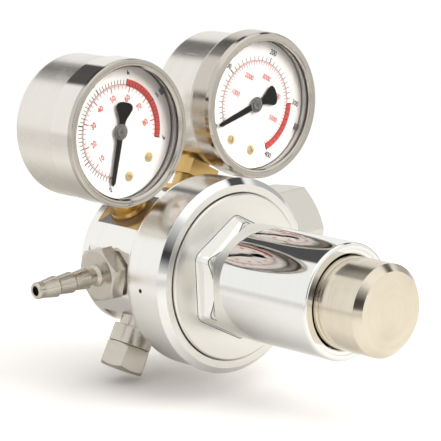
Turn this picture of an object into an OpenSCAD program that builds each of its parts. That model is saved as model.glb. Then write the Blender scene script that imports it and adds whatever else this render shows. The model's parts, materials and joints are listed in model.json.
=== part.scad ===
// Two-gauge medical gas regulator, in millimetres.
// The origin is the centre of the inlet nut's mouth and +X leaves the mouth.
// -Y is the front, where the spring bonnet and the dials face, and +Z is up.
// Inside one piece, w is the distance forward of the plane that holds the five ports,
// and s is the distance outward from the body's axis along a port.

/* [Body] */
// Radius of the rear half of the body, where the ports are
body_rear_r = 26; // [25.5:0.1:27]
// Distance from the port plane back to the rear face
body_rear_len = 16; // [15.5:0.5:20]
// Radius of the front flange of the body
body_front_r = 35.5; // [35:0.1:37]
// Distance from the port plane forward to the front face
body_front_w = 40; // [39:0.5:44]
// Length of the straight side of the front flange
flange_side_len = 15; // [13:0.5:17]
// Radius of the rounded shoulder behind the front flange
shoulder_r = 4.5; // [3:0.25:6]
// Radius of the hollow between the shoulder and the rear half
hollow_r = 7.5; // [6:0.25:9]
// Distance from the axis to the milled port flats
flat_d = 24.5; // [24:0.1:25]
// How far the port flats reach forward
flat_front_w = 12; // [10:0.5:12.5]
// How far the port flats reach back
flat_back_w = 11.4; // [10:0.2:13]
// Chamfer round the rear face
rear_chamfer = 1; // [0.5:0.25:2]
// Radius of the weep hole in the front flange
weep_r = 0.8; // [0.5:0.1:1.2]

/* [Ports] */
// Thread radius of the gauge, outlet and relief ports
port_r = 6.6; // [6.3:0.1:6.8]
// Depth of those ports below their flats
port_depth = 8.9; // [8:0.1:9]
// Thread radius of the inlet port
inlet_port_r = 8.4; // [8:0.1:8.6]
// Depth of the inlet port below its flat
inlet_port_depth = 7.1; // [6:0.1:7.5]
// Length of the short threads that screw into the small ports
port_thread_len = 7; // [6:0.25:7.5]
// Radius of the gas passages
passage_r = 1.2; // [1:0.1:1.4]

/* [Clamp ring] */
// Outer radius of the clamp ring
ring_r = 36.2; // [36:0.1:38]
// Thickness of the clamp ring in front of the body
ring_t = 2.9; // [2.4:0.1:4]
// Radius of the clamp ring's opening
ring_open_r = 31; // [30.5:0.1:31.3]
// Width of the clamp ring's chamfer
ring_chamfer = 1.5; // [1:0.1:2]
// Radius of the ring's thread in the body
ring_thread_r = 33.4; // [33:0.1:33.8]
// Wall of the threaded skirt
ring_skirt_wall = 1.1; // [0.9:0.1:1.2]

/* [Bonnet] */
// Across flats of the bonnet's hexagon
bonnet_af = 41; // [40:0.25:42]
// Radius over the hexagon's rounded corners
bonnet_corner_r = 22.8; // [22.4:0.1:23.2]
// Length of the hexagon
bonnet_hex_len = 9; // [7:0.5:11]
// Radius of the bonnet's barrel
bonnet_r = 21; // [20.2:0.1:21.5]
// Length of the bonnet in front of its flange face
bonnet_len = 56; // [54:0.5:62]
// Rounding of the rim at the open end
rim_r = 1.5; // [1:0.25:2]
// Height of the bonnet's flange face above the clamp ring
flange_proud = 1.1; // [0.5:0.1:2]
// Radius of the spring chamber
spring_bore_r = 17; // [16:0.25:17.5]
// Thickness of the threaded web that holds the adjusting screw
web_t = 9; // [7:0.5:10]

/* [Cap] */
// Radius of the end cap
cap_r = 16.5; // [15.8:0.1:16.8]
// Length of the cap outside the bonnet
cap_out = 20.4; // [16:0.2:24]
// Length of the cap inside the bonnet
cap_in = 11; // [9:0.5:11]
// Wall of the cap
cap_wall = 2.2; // [2:0.1:3]
// Chamfer round the cap's face
cap_chamfer = 2.4; // [1.5:0.1:3]
// Section diameter of the cap's O-ring
cap_o_ring_d = 1.5; // [1.3:0.1:1.5]

/* [Spring and diaphragm] */
// Wire diameter of the main spring
main_wire = 3; // [2.5:0.1:3.4]
// Mean radius of the main spring
main_spring_r = 12.5; // [12:0.1:13]
// Turns of the main spring
main_turns = 7; // [6:0.5:8]
// Installed length of the main spring
main_spring_len = 36.5; // [34:0.5:37.5]
// Thickness of the rubber diaphragm
diaphragm_t = 1.2; // [0.8:0.1:1.5]
// Height of the roll in the diaphragm
roll_h = 1.4; // [0.8:0.1:1.8]
// Thickness of the slip ring on the diaphragm
slip_ring_t = 0.8; // [0.6:0.1:1]
// Thickness of the diaphragm plate
plate_t = 2.5; // [2:0.1:3]
// Radius of the diaphragm plate
plate_r = 20.5; // [19:0.25:21]
// Radius of the adjusting screw
screw_r = 5.9; // [5:0.1:6.5]
// Length of the adjusting screw
screw_len = 25; // [23:0.5:28]
// Across flats of the lock nut
lock_nut_af = 18; // [17:0.5:19]
// Thickness of the lock nut
lock_nut_t = 6; // [5:0.5:7]

/* [Valve] */
// Radius of the high pressure chamber
high_bore_r = 6; // [5.5:0.1:6.5]
// Radius of the seat nozzle's thread
nozzle_r = 8; // [7.6:0.1:8.6]
// Length of the seat nozzle
nozzle_len = 9; // [8:0.25:9.5]
// Radius of the poppet
poppet_r = 4.6; // [4.2:0.1:4.9]
// Length of the poppet's head
poppet_head_len = 7.3; // [6:0.1:8]
// Radius of the poppet's guide stem
poppet_stem_r = 2.2; // [1.9:0.1:2.3]
// Radius of the push pin
pin_r = 0.9; // [0.8:0.05:1.1]
// Lift of the poppet when the valve is fully open
valve_lift = 0.8; // [0.5:0.1:1]

/* [Inlet] */
// Distance from the body's axis to the mouth of the inlet nut
inlet_reach = 71; // [69:0.5:78]
// Across flats of the inlet nut
inlet_af = 32; // [31:0.5:34]
// Length of the inlet nut
inlet_nut_len = 26; // [25:0.5:28]
// Radius inside the inlet nut's thread
inlet_thread_r = 12.1; // [11.9:0.1:12.5]
// Length of the inlet nut's thread
inlet_thread_len = 15; // [13:0.5:15.5]
// Radius of the nipple's shank
nipple_r = 7.2; // [6.8:0.1:7.6]
// Thickness of the nipple's head
nipple_head_t = 4; // [3.5:0.25:4.5]
// Across flats of the nipple's hexagon
nipple_af = 19; // [18:0.5:19.5]
// Thickness of the inlet seal
inlet_seal_t = 1.6; // [1:0.1:1.7]
// Angle of the inlet nut at rest
inlet_nut_turn = 56; // [0:1:59]

/* [Outlet] */
// Across flats of the outlet's hexagon
outlet_af = 19; // [17:0.5:20]
// Thickness of the outlet's hexagon
outlet_hex_t = 5.6; // [4.5:0.1:7]
// Distance from the body's axis to the tip of the outlet
outlet_reach = 59.5; // [58:0.5:64]
// Radius of the outlet's tip
barb_tip_r = 3.15; // [2.9:0.05:3.3]
// Radius over the barbs
barb_r = 4.05; // [3.8:0.05:4.3]
// Radius of the neck behind the barbs
barb_neck_r = 3; // [2.7:0.05:3.2]
// Distance from one barb to the next
barb_pitch = 7.2; // [6.5:0.1:7.4]
// Number of barbs
barb_count = 3; // [2:1:3]
// Radius of the outlet's bore
outlet_bore_r = 1.8; // [1.5:0.1:2]
// Angle of the outlet's hexagon
outlet_turn = 14; // [0:1:59]

/* [Relief valve] */
// Radius of the relief valve's neck
relief_neck_r = 6.3; // [6:0.1:6.8]
// Length of the relief valve's neck
relief_neck_len = 3.5; // [3:0.25:5]
// Radius of the relief valve's barrel
relief_r = 8; // [7.6:0.1:8.4]
// Length of the relief valve's barrel
relief_len = 6.8; // [6.5:0.1:8]
// Across flats of the relief cap
relief_af = 16; // [15:0.5:17]
// Length of the relief cap's hexagon
relief_cap_len = 9.5; // [8.5:0.25:11]
// Lift of the relief poppet
relief_lift = 1.2; // [0.6:0.1:1.3]
// Angle of the relief cap's hexagon
relief_turn = 43; // [0:1:59]

/* [Gauges] */
// Distance from the body's axis to the centre of each gauge
gauge_arm = 65.3; // [64:0.1:68]
// Angle of the low pressure gauge round the body
low_angle = 120; // [118:0.5:124]
// Angle of the high pressure gauge round the body
high_angle = 60; // [56:0.5:62]
// Radius of the low pressure gauge's case
low_case_r = 26; // [25.8:0.1:26.2]
// Radius of the low pressure gauge's bezel
low_bezel_r = 26.6; // [26.5:0.1:27.2]
// Radius of the low pressure gauge's opening
low_open_r = 23.4; // [23:0.1:23.8]
// Radius of the high pressure gauge's case
high_case_r = 25.6; // [25.5:0.1:25.8]
// Radius over the high pressure gauge's bezel
high_bezel_r = 27.9; // [27:0.1:28.2]
// Radius of the high pressure gauge's opening
high_open_r = 23.9; // [23.4:0.1:24]
// Distance from the port plane to the front of the bezels
bezel_front_w = 26.3; // [25.5:0.1:27]
// Length of the bezels
bezel_len = 12.2; // [10:0.1:13]
// Distance from the port plane to the back of the cases
case_back = 7.4; // [7.2:0.1:9]
// Wall of the cases
case_wall = 0.9; // [0.7:0.1:1]
// Thickness of the windows
window_t = 2; // [1.5:0.1:2.2]
// Thickness of the window gaskets
gasket_t = 1; // [0.8:0.1:1.2]
// Depth of the low pressure dial behind the front of its bezel
low_dial_depth = 9.3; // [8.6:0.1:9.6]
// Depth of the high pressure dial behind the front of its bezel
high_dial_depth = 7.9; // [7.6:0.1:8.8]
// Radius of the dials
dial_r = 24.2; // [23.6:0.1:24.4]
// Across flats of the square shanks
shank_af = 14; // [12:0.5:14]
// Length of the square shanks
shank_len = 5.9; // [5:0.1:6.1]

/* [Gauge movement] */
// Module of the movement's teeth
tooth_m = 0.3; // [0.28:0.01:0.32]
// Teeth on the pinion
pinion_teeth = 10; // [9:1:11]
// Teeth that a full turn of the sector would hold
sector_teeth = 70; // [66:1:74]
// Backlash across one tooth of the movement
tooth_play = 0.07; // [0.05:0.01:0.09]
// Thickness of the toothed sector
sector_t = 0.8; // [0.6:0.1:1]
// Sweep of the pointers from zero to full scale
pointer_sweep = 270; // [240:5:270]
// Length of the pointers
pointer_len = 19.6; // [18:0.2:21]
// Mean radius of the Bourdon tubes
tube_r = 18; // [17.5:0.1:18.5]
// Thickness of the Bourdon tubes
tube_t = 2.6; // [2:0.1:3]
// Width of the Bourdon tubes
tube_w = 7.5; // [6:0.25:8]

/* [Hidden] */
$fn = 72;

CHROME = [0.85, 0.86, 0.88];
NICKEL = [0.77, 0.74, 0.69];
STEEL = [0.72, 0.70, 0.67];
BRASS = [0.78, 0.60, 0.33];
BRONZE = [0.62, 0.45, 0.25];
RUBBER = [0.12, 0.12, 0.12];
WHITE = [0.95, 0.95, 0.94];
PTFE = [0.88, 0.88, 0.84];
GLASS = [0.80, 0.88, 0.90, 0.35];
INK = [0.08, 0.08, 0.09];

// Clearances that fitted pieces share
cut = 0.5;
thread_gap = 0.1;
run_gap = 0.04;
slide_gap = 0.3;
seat_gap = 0.1;
gauge_gap = 0.5;

// Stations of the body
shoulder_w = body_front_w - flange_side_len;
round_sum = shoulder_r + hollow_r;
step_h = body_front_r - body_rear_r;
hollow_w = shoulder_w - sqrt(round_sum * round_sum - (step_h - round_sum) * (step_h - round_sum));
turn_angle = acos((round_sum - step_h) / round_sum);
port_s = flat_d - port_depth;
inlet_port_s = flat_d - inlet_port_depth;
thread_s = flat_d - port_thread_len;
passage_s = port_s + passage_r - 0.6;
LOW_PORTS = [low_angle, 180, 240];
HIGH_PORTS = [high_angle];
INLET_ANGLE = 0;
OUTLET_ANGLE = 180;
RELIEF_ANGLE = 240;

// Stack of the diaphragm and bonnet along the axis
flange_step = 4;
skirt_gap = 0.7;
seat_w = body_front_w - 12.5;
chamber_r = ring_thread_r - 7.4;
chamber_w = seat_w - 5;
slip_w = seat_w + diaphragm_t;
flange_w = slip_w + slip_ring_t;
flange_r = ring_thread_r - thread_gap - ring_skirt_wall - slide_gap;
shoulder_in_w = body_front_w - flange_step;
ring_front_w = body_front_w + ring_t;
bonnet_face_w = ring_front_w + flange_proud;
bonnet_hex_w = bonnet_face_w + bonnet_hex_len;
blend_w = bonnet_hex_w + 6;
bonnet_end_w = bonnet_face_w + bonnet_len;
cap_bore_r = cap_r + 0.4;
web_front_w = bonnet_end_w - cap_in - 2;
web_w = web_front_w - web_t;
plate_space_r = plate_r + 3.5;
plate_space_w = flange_w + plate_t + 2;
roll_in_r = plate_r + 0.1;
roll_out_r = plate_space_r - 0.1;
plate_w = slip_w + 0.2;
plate_top_w = plate_w + plate_t;
button_w = plate_top_w + main_spring_len + 2 * seat_gap;
button_t = 3;
button_r = main_spring_r + main_wire / 2 + 0.6;
pilot_r = main_spring_r - main_wire / 2 - 0.5;
screw_w = button_w + button_t + seat_gap;
cap_w = bonnet_end_w - cap_in;
cap_end_w = bonnet_end_w + cap_out;
o_ring_set = 4;
o_ring_w = cap_w + o_ring_set;
o_ring_groove_r = cap_r - cap_o_ring_d + 0.2;

// Stations of the valve
nozzle_w = chamber_w - nozzle_len - 1.5;
seat_lip = 0.7;
poppet_top_w = nozzle_w + 0.3 - seat_lip - seat_gap;
poppet_w = poppet_top_w - poppet_head_len;
high_floor_w = -9;
guide_depth = 4;
poppet_spare = 0.6;
stud_r = 3;
nut_t = 2.3;
diaphragm_nut_r = 7;
nut_w = seat_w - 0.2 - nut_t;
stud_w = nut_w - 0.3;
pin_top_w = stud_w - seat_gap;

// Stations of the inlet
nut_start_s = inlet_reach - inlet_nut_len;
thread_start_s = inlet_reach - inlet_thread_len;
head_s = thread_start_s - inlet_seal_t - nipple_head_t - 0.4;
head_end_s = head_s + nipple_head_t;
head_r = inlet_thread_r - 0.5;
nut_shoulder_s = head_s - seat_gap - slide_gap;
filter_s = head_end_s - 11;
nipple_hex_t = 4.5;

// Stations of the outlet
outlet_washer_t = 1;
outlet_hex_s = flat_d + outlet_washer_t;
outlet_face_s = outlet_hex_s + outlet_hex_t;
first_barb_s = outlet_reach - 8.8 - (barb_count - 1) * barb_pitch;
barb_step = 1;
tip_land = 2.4;
tip_chamfer = 0.6;

// Stations of the relief valve
relief_barrel_s = flat_d + relief_neck_len;
relief_joint_s = relief_barrel_s + relief_len;
relief_seat_s = relief_barrel_s - 0.5;
relief_wall = 2.5;
relief_bore_r = relief_r - relief_wall;
relief_poppet_s = relief_seat_s + seat_gap;
relief_seat_t = 0.8;
relief_seat_r = 3;
relief_head_t = 2.8;
relief_spigot_s = relief_joint_s - 2;
relief_spring_s = relief_poppet_s + relief_head_t + seat_gap;
relief_spring_rise = 3.8;
relief_spring_end_s = relief_joint_s + relief_spring_rise;

// Levels inside a gauge, counted forward from the port plane
case_front_w = bezel_front_w - 1.1 - window_t - gasket_t - 0.2;
case_floor_w = -case_back + case_wall;
case_corner_r = 2.5;
neck_reach = 2.6;
tube_mid_w = 9.4;
plate_gauge_t = 1;
rear_plate_w = 6;
front_plate_w = 13.2;
sector_w = 9.4;
link_w = sector_w + sector_t + slide_gap;
link_t = 0.6;
block_top_w = rear_plate_w;
block_back_w = case_floor_w + 2;
neck_r = 5.6;
collar_r = 7.4;
washer_r = 8.2;
washer_t = 1.5;
collar_t = 2;
gauge_passage_r = 1.6;

// Places inside a gauge, where the centre is the pointer's arbor and -y leads to the stem
centre_distance = tooth_m * (pinion_teeth + sector_teeth) / 2;
pivot_angle = -60;
pivot = centre_distance * [cos(pivot_angle), sin(pivot_angle)];
gear_ratio = sector_teeth / pinion_teeth;
sector_swing = pointer_sweep / gear_ratio;
tail_len = 4.5;
tail_angle = -30;
tail = pivot + tail_len * [cos(tail_angle), sin(tail_angle)];
link_angle = 60;
link_len = 8;
tip_pin = tail + link_len * [cos(link_angle), sin(link_angle)];
tube_tip_angle = -20;
tube_root_angle = 232;
arbor_r = 0.6;
tube_root = tube_r * [cos(tube_root_angle), sin(tube_root_angle)];
socket_left = tube_root[0] - 1.5 * tube_t;
socket_right = tube_root[0] + 0.6 * tube_t;
socket_drop = 1.3 * tube_t - tube_root[1];
block_top_drop = 13;
block_half = 7;
shank_gap = 0.5;
sector_arbor_r = 0.8;
link_pin_r = 0.5;
screw_spread = 5.5;
screw_drop = 16.2;
pillar_r = 1.8;
dial_t = 0.6;
zero_angle = 90 + pointer_sweep / 2;

// Puts a piece drawn round the body's axis in its place, with z leading forward
module on_axis() {
    translate([-inlet_reach, 0, 0]) rotate([90, 0, 0]) children();
}

// Puts a piece drawn along z on the port at an angle round the body
module on_port(angle) {
    on_axis() radial(angle) children();
}

// Lays z along a port inside the axis frame, with x leading back
module radial(angle) {
    rotate([0, 0, angle]) rotate([0, 90, 0]) children();
}

// Puts a gauge's piece in its place: x and y lie in the dial, z leads forward
module on_gauge(angle) {
    on_axis() rotate([0, 0, angle - 90]) translate([0, gauge_arm, 0]) children();
}

// Round bar between two stations
module rod(r, a, b) {
    translate([0, 0, a]) cylinder(r = r, h = b - a);
}

// Round tube between two stations
module tube(outer_r, inner_r, a, b) {
    difference() {
        rod(outer_r, a, b);
        rod(inner_r, a - cut, b + cut);
    }
}

// Body of revolution round z from radius and station pairs
module turned(points) {
    rotate_extrude() polygon(points);
}

// Points of an arc, as radius and station pairs
function arc(cx, cy, r, a, b, n = 8) =
    [for (i = [0 : n]) [cx + r * cos(a + (b - a) * i / n), cy + r * sin(a + (b - a) * i / n)]];

// Hexagonal bar with a 30 degree chamfer on its far end, and on the near end if asked
module hexagon(af, a, b, near = false) {
    corner = af / sqrt(3);
    edge = af / 2 - 0.4;
    drop = (corner - edge) * tan(30);
    intersection() {
        translate([0, 0, a]) cylinder(r = corner, h = b - a, $fn = 6);
        turned([
            [0, a],
            [near ? edge : corner + cut, a],
            [corner + cut, near ? a + drop + cut * tan(30) : a],
            [corner + cut, b - drop - cut * tan(30)],
            [edge, b],
            [0, b]
        ]);
    }
}

// Helical spring with a closed coil at each end, as one swept wire
module coil_spring(r, wire, a, b, turns, sides = 8, steps = 16) {
    dead = 1;
    closed = wire * 1.03;
    rise = (b - a - wire - 2 * dead * closed) / (turns - 2 * dead);
    last = round(turns * steps);
    function level(t) = t < dead ? closed * t
        : t > turns - dead ? b - a - wire - closed * (turns - t)
        : dead * closed + rise * (t - dead);
    points = [
        for (i = [0 : last]) for (k = [0 : sides - 1])
            let(t = i / steps, turn = 360 * t, side = 360 * k / sides, rr = r + wire / 2 * cos(side))
            [rr * cos(turn), rr * sin(turn), a + wire / 2 + level(t) + wire / 2 * sin(side)]
    ];
    skin = [
        for (i = [0 : last - 1]) for (k = [0 : sides - 1])
            [i * sides + k, i * sides + (k + 1) % sides,
             (i + 1) * sides + (k + 1) % sides, (i + 1) * sides + k]
    ];
    start = [for (k = [0 : sides - 1]) sides - 1 - k];
    finish = [for (k = [0 : sides - 1]) last * sides + k];
    polyhedron(points = points, faces = concat(skin, [start, finish]), convexity = 10);
}

// Outline of the body from the rear face to the front face
body_outline = concat(
    [
        [0, -body_rear_len],
        [body_rear_r - rear_chamfer, -body_rear_len],
        [body_rear_r, -body_rear_len + rear_chamfer]
    ],
    arc(body_rear_r + hollow_r, hollow_w, hollow_r, 180, 180 - turn_angle),
    arc(body_front_r - shoulder_r, shoulder_w, shoulder_r, -turn_angle, 0),
    [[body_front_r, body_front_w], [0, body_front_w]]
);

module body() {
    color(CHROME) on_axis() difference() {
        turned(body_outline);
        rod(ring_thread_r, seat_w, body_front_w + cut);
        rod(chamber_r, chamber_w, seat_w + cut);
        rod(nozzle_r, nozzle_w, chamber_w + cut);
        rod(high_bore_r, high_floor_w, nozzle_w + cut);
        rod(poppet_stem_r + run_gap, high_floor_w - guide_depth, high_floor_w + cut);
        for (angle = concat(LOW_PORTS, HIGH_PORTS)) radial(angle) {
            port_flat();
            rod(port_r, port_s, flat_d + cut);
        }
        radial(INLET_ANGLE) {
            port_flat();
            rod(inlet_port_r, inlet_port_s, flat_d + cut);
            rod(2 * passage_r, 0, inlet_port_s + cut);
        }
        for (angle = HIGH_PORTS) radial(angle) rod(passage_r, 0, port_s + cut);
        for (angle = LOW_PORTS) rotate([0, 0, angle]) translate([passage_s, 0, 0])
            rod(passage_r, 0, chamber_w + cut);
        radial(OUTLET_ANGLE) translate([-(seat_w + 3), 0, 0])
            rod(weep_r, ring_thread_r - cut, body_front_r + cut);
        gauge_room(low_angle, low_bezel_r);
        gauge_room(high_angle, high_bezel_r);
    }
}

// Space that the body's shoulder leaves for a gauge's bezel
module gauge_room(angle, bezel_r) {
    rotate([0, 0, angle - 90]) translate([0, gauge_arm, 0])
        rod(bezel_r + gauge_gap, bezel_front_w - bezel_len - gauge_gap, bezel_front_w + gauge_gap);
}

// Space that the cutter clears for one port's flat, along z
module port_flat() {
    translate([-flat_front_w, -body_rear_r, flat_d])
        cube([flat_front_w + flat_back_w, 2 * body_rear_r, body_front_r]);
}

module clamp_ring() {
    thread_r = ring_thread_r - thread_gap;
    color(NICKEL) on_axis() turned([
        [ring_open_r, shoulder_in_w],
        [ring_open_r, ring_front_w],
        [ring_r - ring_chamfer, ring_front_w],
        [ring_r, ring_front_w - ring_chamfer],
        [ring_r, body_front_w],
        [thread_r, body_front_w],
        [thread_r, flange_w + skirt_gap],
        [thread_r - ring_skirt_wall, flange_w + skirt_gap],
        [thread_r - ring_skirt_wall, shoulder_in_w]
    ]);
}

// The bonnet's outside blends from its hexagon into the barrel along a cosine
bonnet_blend = [
    for (i = [0 : 8])
        [bonnet_r + (bonnet_corner_r - bonnet_r) * (1 + cos(180 * i / 8)) / 2,
         bonnet_hex_w + 1 + (blend_w - bonnet_hex_w - 1) * i / 8]
];

module bonnet() {
    disc_r = ring_open_r - slide_gap;
    edge = 0.5;
    color(CHROME) on_axis() difference() {
        turned(concat(
            [
                [plate_space_r, flange_w],
                [flange_r, flange_w],
                [flange_r, shoulder_in_w],
                [disc_r, shoulder_in_w],
                [disc_r, bonnet_face_w - edge],
                [disc_r - edge, bonnet_face_w],
                [bonnet_corner_r, bonnet_face_w]
            ],
            bonnet_blend,
            arc(bonnet_r - rim_r, bonnet_end_w - rim_r, rim_r, 0, 90, 5),
            [
                [cap_bore_r + edge, bonnet_end_w],
                [cap_bore_r, bonnet_end_w - edge],
                [cap_bore_r, web_front_w],
                [screw_r + thread_gap, web_front_w],
                [screw_r + thread_gap, web_w],
                [spring_bore_r, web_w],
                [spring_bore_r, plate_space_w],
                [plate_space_r, plate_space_w]
            ]
        ));
        for (i = [0 : 5]) rotate([0, 0, 60 * i])
            translate([bonnet_af / 2, -bonnet_corner_r, bonnet_face_w])
                cube([bonnet_corner_r, 2 * bonnet_corner_r, bonnet_hex_len]);
    }
}

module slip_ring() {
    color(BRASS) on_axis() tube(flange_r, plate_space_r + 1, slip_w, flange_w);
}

// Height of the diaphragm's roll at a radius
function roll(r) = let(a = roll_in_r, b = roll_out_r)
    r < a || r > b ? 0 : roll_h * (1 - cos(360 * (r - a) / (b - a))) / 2;

module diaphragm() {
    roll_radii = [for (i = [0 : 12]) roll_in_r + (roll_out_r - roll_in_r) * i / 12];
    radii = concat([stud_r + slide_gap], roll_radii, [flange_r]);
    upper = [for (r = radii) [r, slip_w + roll(r)]];
    lower = [for (i = [len(radii) - 1 : -1 : 0]) [radii[i], seat_w + roll(radii[i])]];
    color(RUBBER) on_axis() turned(concat(upper, lower));
}

module diaphragm_plate() {
    color(STEEL) on_axis() {
        rod(plate_r, plate_w, plate_top_w);
        rod(pilot_r, plate_top_w - 0.01, plate_top_w + 2);
        rod(stud_r, stud_w, plate_w + 0.01);
    }
}

module diaphragm_nut() {
    color(BRASS) on_axis() tube(diaphragm_nut_r, stud_r + run_gap, nut_w, nut_w + nut_t);
}

module main_spring() {
    color(STEEL) on_axis()
        coil_spring(main_spring_r, main_wire, plate_top_w + seat_gap, button_w - seat_gap, main_turns);
}

module spring_button() {
    color(STEEL) on_axis() {
        rod(button_r, button_w, button_w + button_t);
        rod(pilot_r, button_w - 2, button_w + 0.01);
    }
}

module adjusting_screw() {
    socket_af = screw_r;
    tip = 1;
    color(STEEL) on_axis() difference() {
        turned([
            [0, screw_w],
            [screw_r - tip, screw_w],
            [screw_r, screw_w + tip],
            [screw_r, screw_w + screw_len - tip],
            [screw_r - tip, screw_w + screw_len],
            [0, screw_w + screw_len]
        ]);
        translate([0, 0, screw_w + screw_len - 7])
            cylinder(r = socket_af / sqrt(3), h = 7 + cut, $fn = 6);
    }
}

module lock_nut() {
    start = web_front_w;
    color(STEEL) on_axis() difference() {
        hexagon(lock_nut_af, start, start + lock_nut_t, true);
        rod(screw_r + thread_gap, start - cut, start + lock_nut_t + cut);
    }
}

module cap() {
    inner_r = cap_r - cap_wall;
    groove_edge = cap_o_ring_d / 2 + 0.1;
    edge = 0.4;
    color(NICKEL) on_axis() turned([
        [inner_r, cap_w],
        [cap_r - edge, cap_w],
        [cap_r, cap_w + edge],
        [cap_r, o_ring_w - groove_edge],
        [o_ring_groove_r - 0.05, o_ring_w - groove_edge],
        [o_ring_groove_r - 0.05, o_ring_w + groove_edge],
        [cap_r, o_ring_w + groove_edge],
        [cap_r, cap_end_w - cap_chamfer],
        [cap_r - cap_chamfer, cap_end_w],
        [0, cap_end_w],
        [0, cap_end_w - cap_wall - 0.6],
        [inner_r, cap_end_w - cap_wall - 0.6]
    ]);
}

module cap_o_ring() {
    color(RUBBER) on_axis() translate([0, 0, o_ring_w]) rotate_extrude()
        translate([o_ring_groove_r + cap_o_ring_d / 2, 0]) circle(d = cap_o_ring_d, $fn = 32);
}

module seat_nozzle() {
    lip_r = 2.6;
    bore_r = pin_r + 0.7;
    bottom = nozzle_w + 0.3;
    color(BRASS) on_axis() difference() {
        union() {
            turned([
                [bore_r, bottom - seat_lip],
                [lip_r - 0.4, bottom - seat_lip],
                [lip_r, bottom],
                [nozzle_r - thread_gap, bottom],
                [nozzle_r - thread_gap, bottom + nozzle_len],
                [bore_r, bottom + nozzle_len]
            ]);
        }
        translate([-nozzle_r, -0.75, bottom + nozzle_len - 1.5]) cube([2 * nozzle_r, 1.5, 2]);
    }
}

module valve_pin() {
    color(STEEL) on_axis() rod(pin_r, poppet_top_w, pin_top_w);
}

module poppet() {
    edge = 0.4;
    back_w = high_floor_w - guide_depth + valve_lift + poppet_spare;
    color(BRASS) on_axis() turned([
        [0, back_w],
        [poppet_stem_r - edge, back_w],
        [poppet_stem_r, back_w + edge],
        [poppet_stem_r, poppet_w],
        [poppet_r, poppet_w],
        [poppet_r, poppet_top_w - edge],
        [poppet_r - edge, poppet_top_w],
        [0, poppet_top_w]
    ]);
}

module poppet_spring() {
    wire = 0.8;
    mean_r = poppet_stem_r + wire / 2 + 0.7;
    color(STEEL) on_axis() coil_spring(mean_r, wire, high_floor_w + seat_gap, poppet_w - seat_gap, 6.5);
}

module inlet_nipple() {
    color(NICKEL) on_port(INLET_ANGLE) difference() {
        union() {
            rod(inlet_port_r - thread_gap, inlet_port_s + 0.4, flat_d + 0.01);
            hexagon(nipple_af, flat_d, flat_d + nipple_hex_t);
            rod(nipple_r, flat_d + nipple_hex_t - 0.01, head_s + 0.01);
            rod(head_r, head_s, head_end_s);
        }
        rod(2 * passage_r, inlet_port_s, head_end_s + cut);
        rod(nipple_r - 2.6, filter_s, head_end_s + cut);
    }
}

module inlet_nut() {
    color(NICKEL) on_port(INLET_ANGLE) difference() {
        rotate([0, 0, inlet_nut_turn]) hexagon(inlet_af, nut_start_s, inlet_reach, true);
        rod(nipple_r + slide_gap, nut_start_s - cut, inlet_reach + cut);
        rod(inlet_thread_r + 0.5, nut_shoulder_s, thread_start_s);
        rod(inlet_thread_r, thread_start_s - cut, inlet_reach + cut);
    }
}

module inlet_filter() {
    color(BRONZE) on_port(INLET_ANGLE) rod(nipple_r - 2.6 - 0.1, filter_s + 0.1, head_end_s - 1.5);
}

module inlet_seal() {
    color(PTFE) on_port(INLET_ANGLE)
        tube(head_r - 2.5, nipple_r - 2.4, head_end_s, head_end_s + inlet_seal_t);
}

// Barbs from the neck to the tip, as radius and station pairs
barb_profile = concat(
    [[barb_neck_r + 1.1, outlet_face_s], [barb_neck_r + 1.1, outlet_face_s + 0.6],
     [barb_neck_r, outlet_face_s + 1.7], [barb_neck_r, first_barb_s - barb_step]],
    [
        for (i = [0 : barb_count - 1]) for (k = [0 : 1])
            let(s = first_barb_s + i * barb_pitch, last = i == barb_count - 1)
            k == 0 ? [barb_r, s]
            : last ? [barb_tip_r, outlet_reach - tip_chamfer - tip_land]
            : [barb_r - 0.7, s + barb_pitch - barb_step]
    ],
    [[barb_tip_r, outlet_reach - tip_chamfer], [barb_tip_r - tip_chamfer, outlet_reach]]
);

module outlet_barb() {
    color(NICKEL) on_port(OUTLET_ANGLE) difference() {
        union() {
            rod(port_r - thread_gap, thread_s, outlet_hex_s + 0.01);
            rotate([0, 0, outlet_turn]) hexagon(outlet_af, outlet_hex_s, outlet_face_s);
            turned(concat([[0, outlet_face_s - 1], [barb_neck_r + 1.1, outlet_face_s - 1]],
                barb_profile, [[0, outlet_reach]]));
        }
        rod(outlet_bore_r, thread_s - cut, outlet_reach + cut);
    }
}

module outlet_washer() {
    color(NICKEL) on_port(OUTLET_ANGLE)
        tube(washer_r + 0.3, port_r + thread_gap, flat_d, flat_d + outlet_washer_t);
}

module relief_body() {
    edge = 0.4;
    color(NICKEL) on_port(RELIEF_ANGLE) difference() {
        turned([
            [0, thread_s],
            [port_r - thread_gap, thread_s],
            [port_r - thread_gap, flat_d - 0.6],
            [relief_neck_r, flat_d - 0.6],
            [relief_neck_r, relief_barrel_s],
            [relief_r - edge, relief_barrel_s],
            [relief_r, relief_barrel_s + edge],
            [relief_r, relief_joint_s - edge],
            [relief_r - edge, relief_joint_s],
            [0, relief_joint_s]
        ]);
        rod(1.5 * passage_r, thread_s - cut, relief_seat_s + cut);
        rod(relief_bore_r, relief_seat_s, relief_joint_s + cut);
    }
}

module relief_cap() {
    well_r = relief_bore_r - thread_gap - 1.1;
    end_s = relief_joint_s + relief_cap_len;
    color(NICKEL) on_port(RELIEF_ANGLE) difference() {
        union() {
            rod(relief_bore_r - thread_gap, relief_spigot_s, relief_joint_s + 0.01);
            rotate([0, 0, relief_turn]) hexagon(relief_af, relief_joint_s, end_s, true);
        }
        rod(well_r, relief_spigot_s - cut, relief_spring_end_s + seat_gap);
        rod(1.7 * passage_r, relief_spigot_s, end_s + cut);
    }
}

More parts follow.
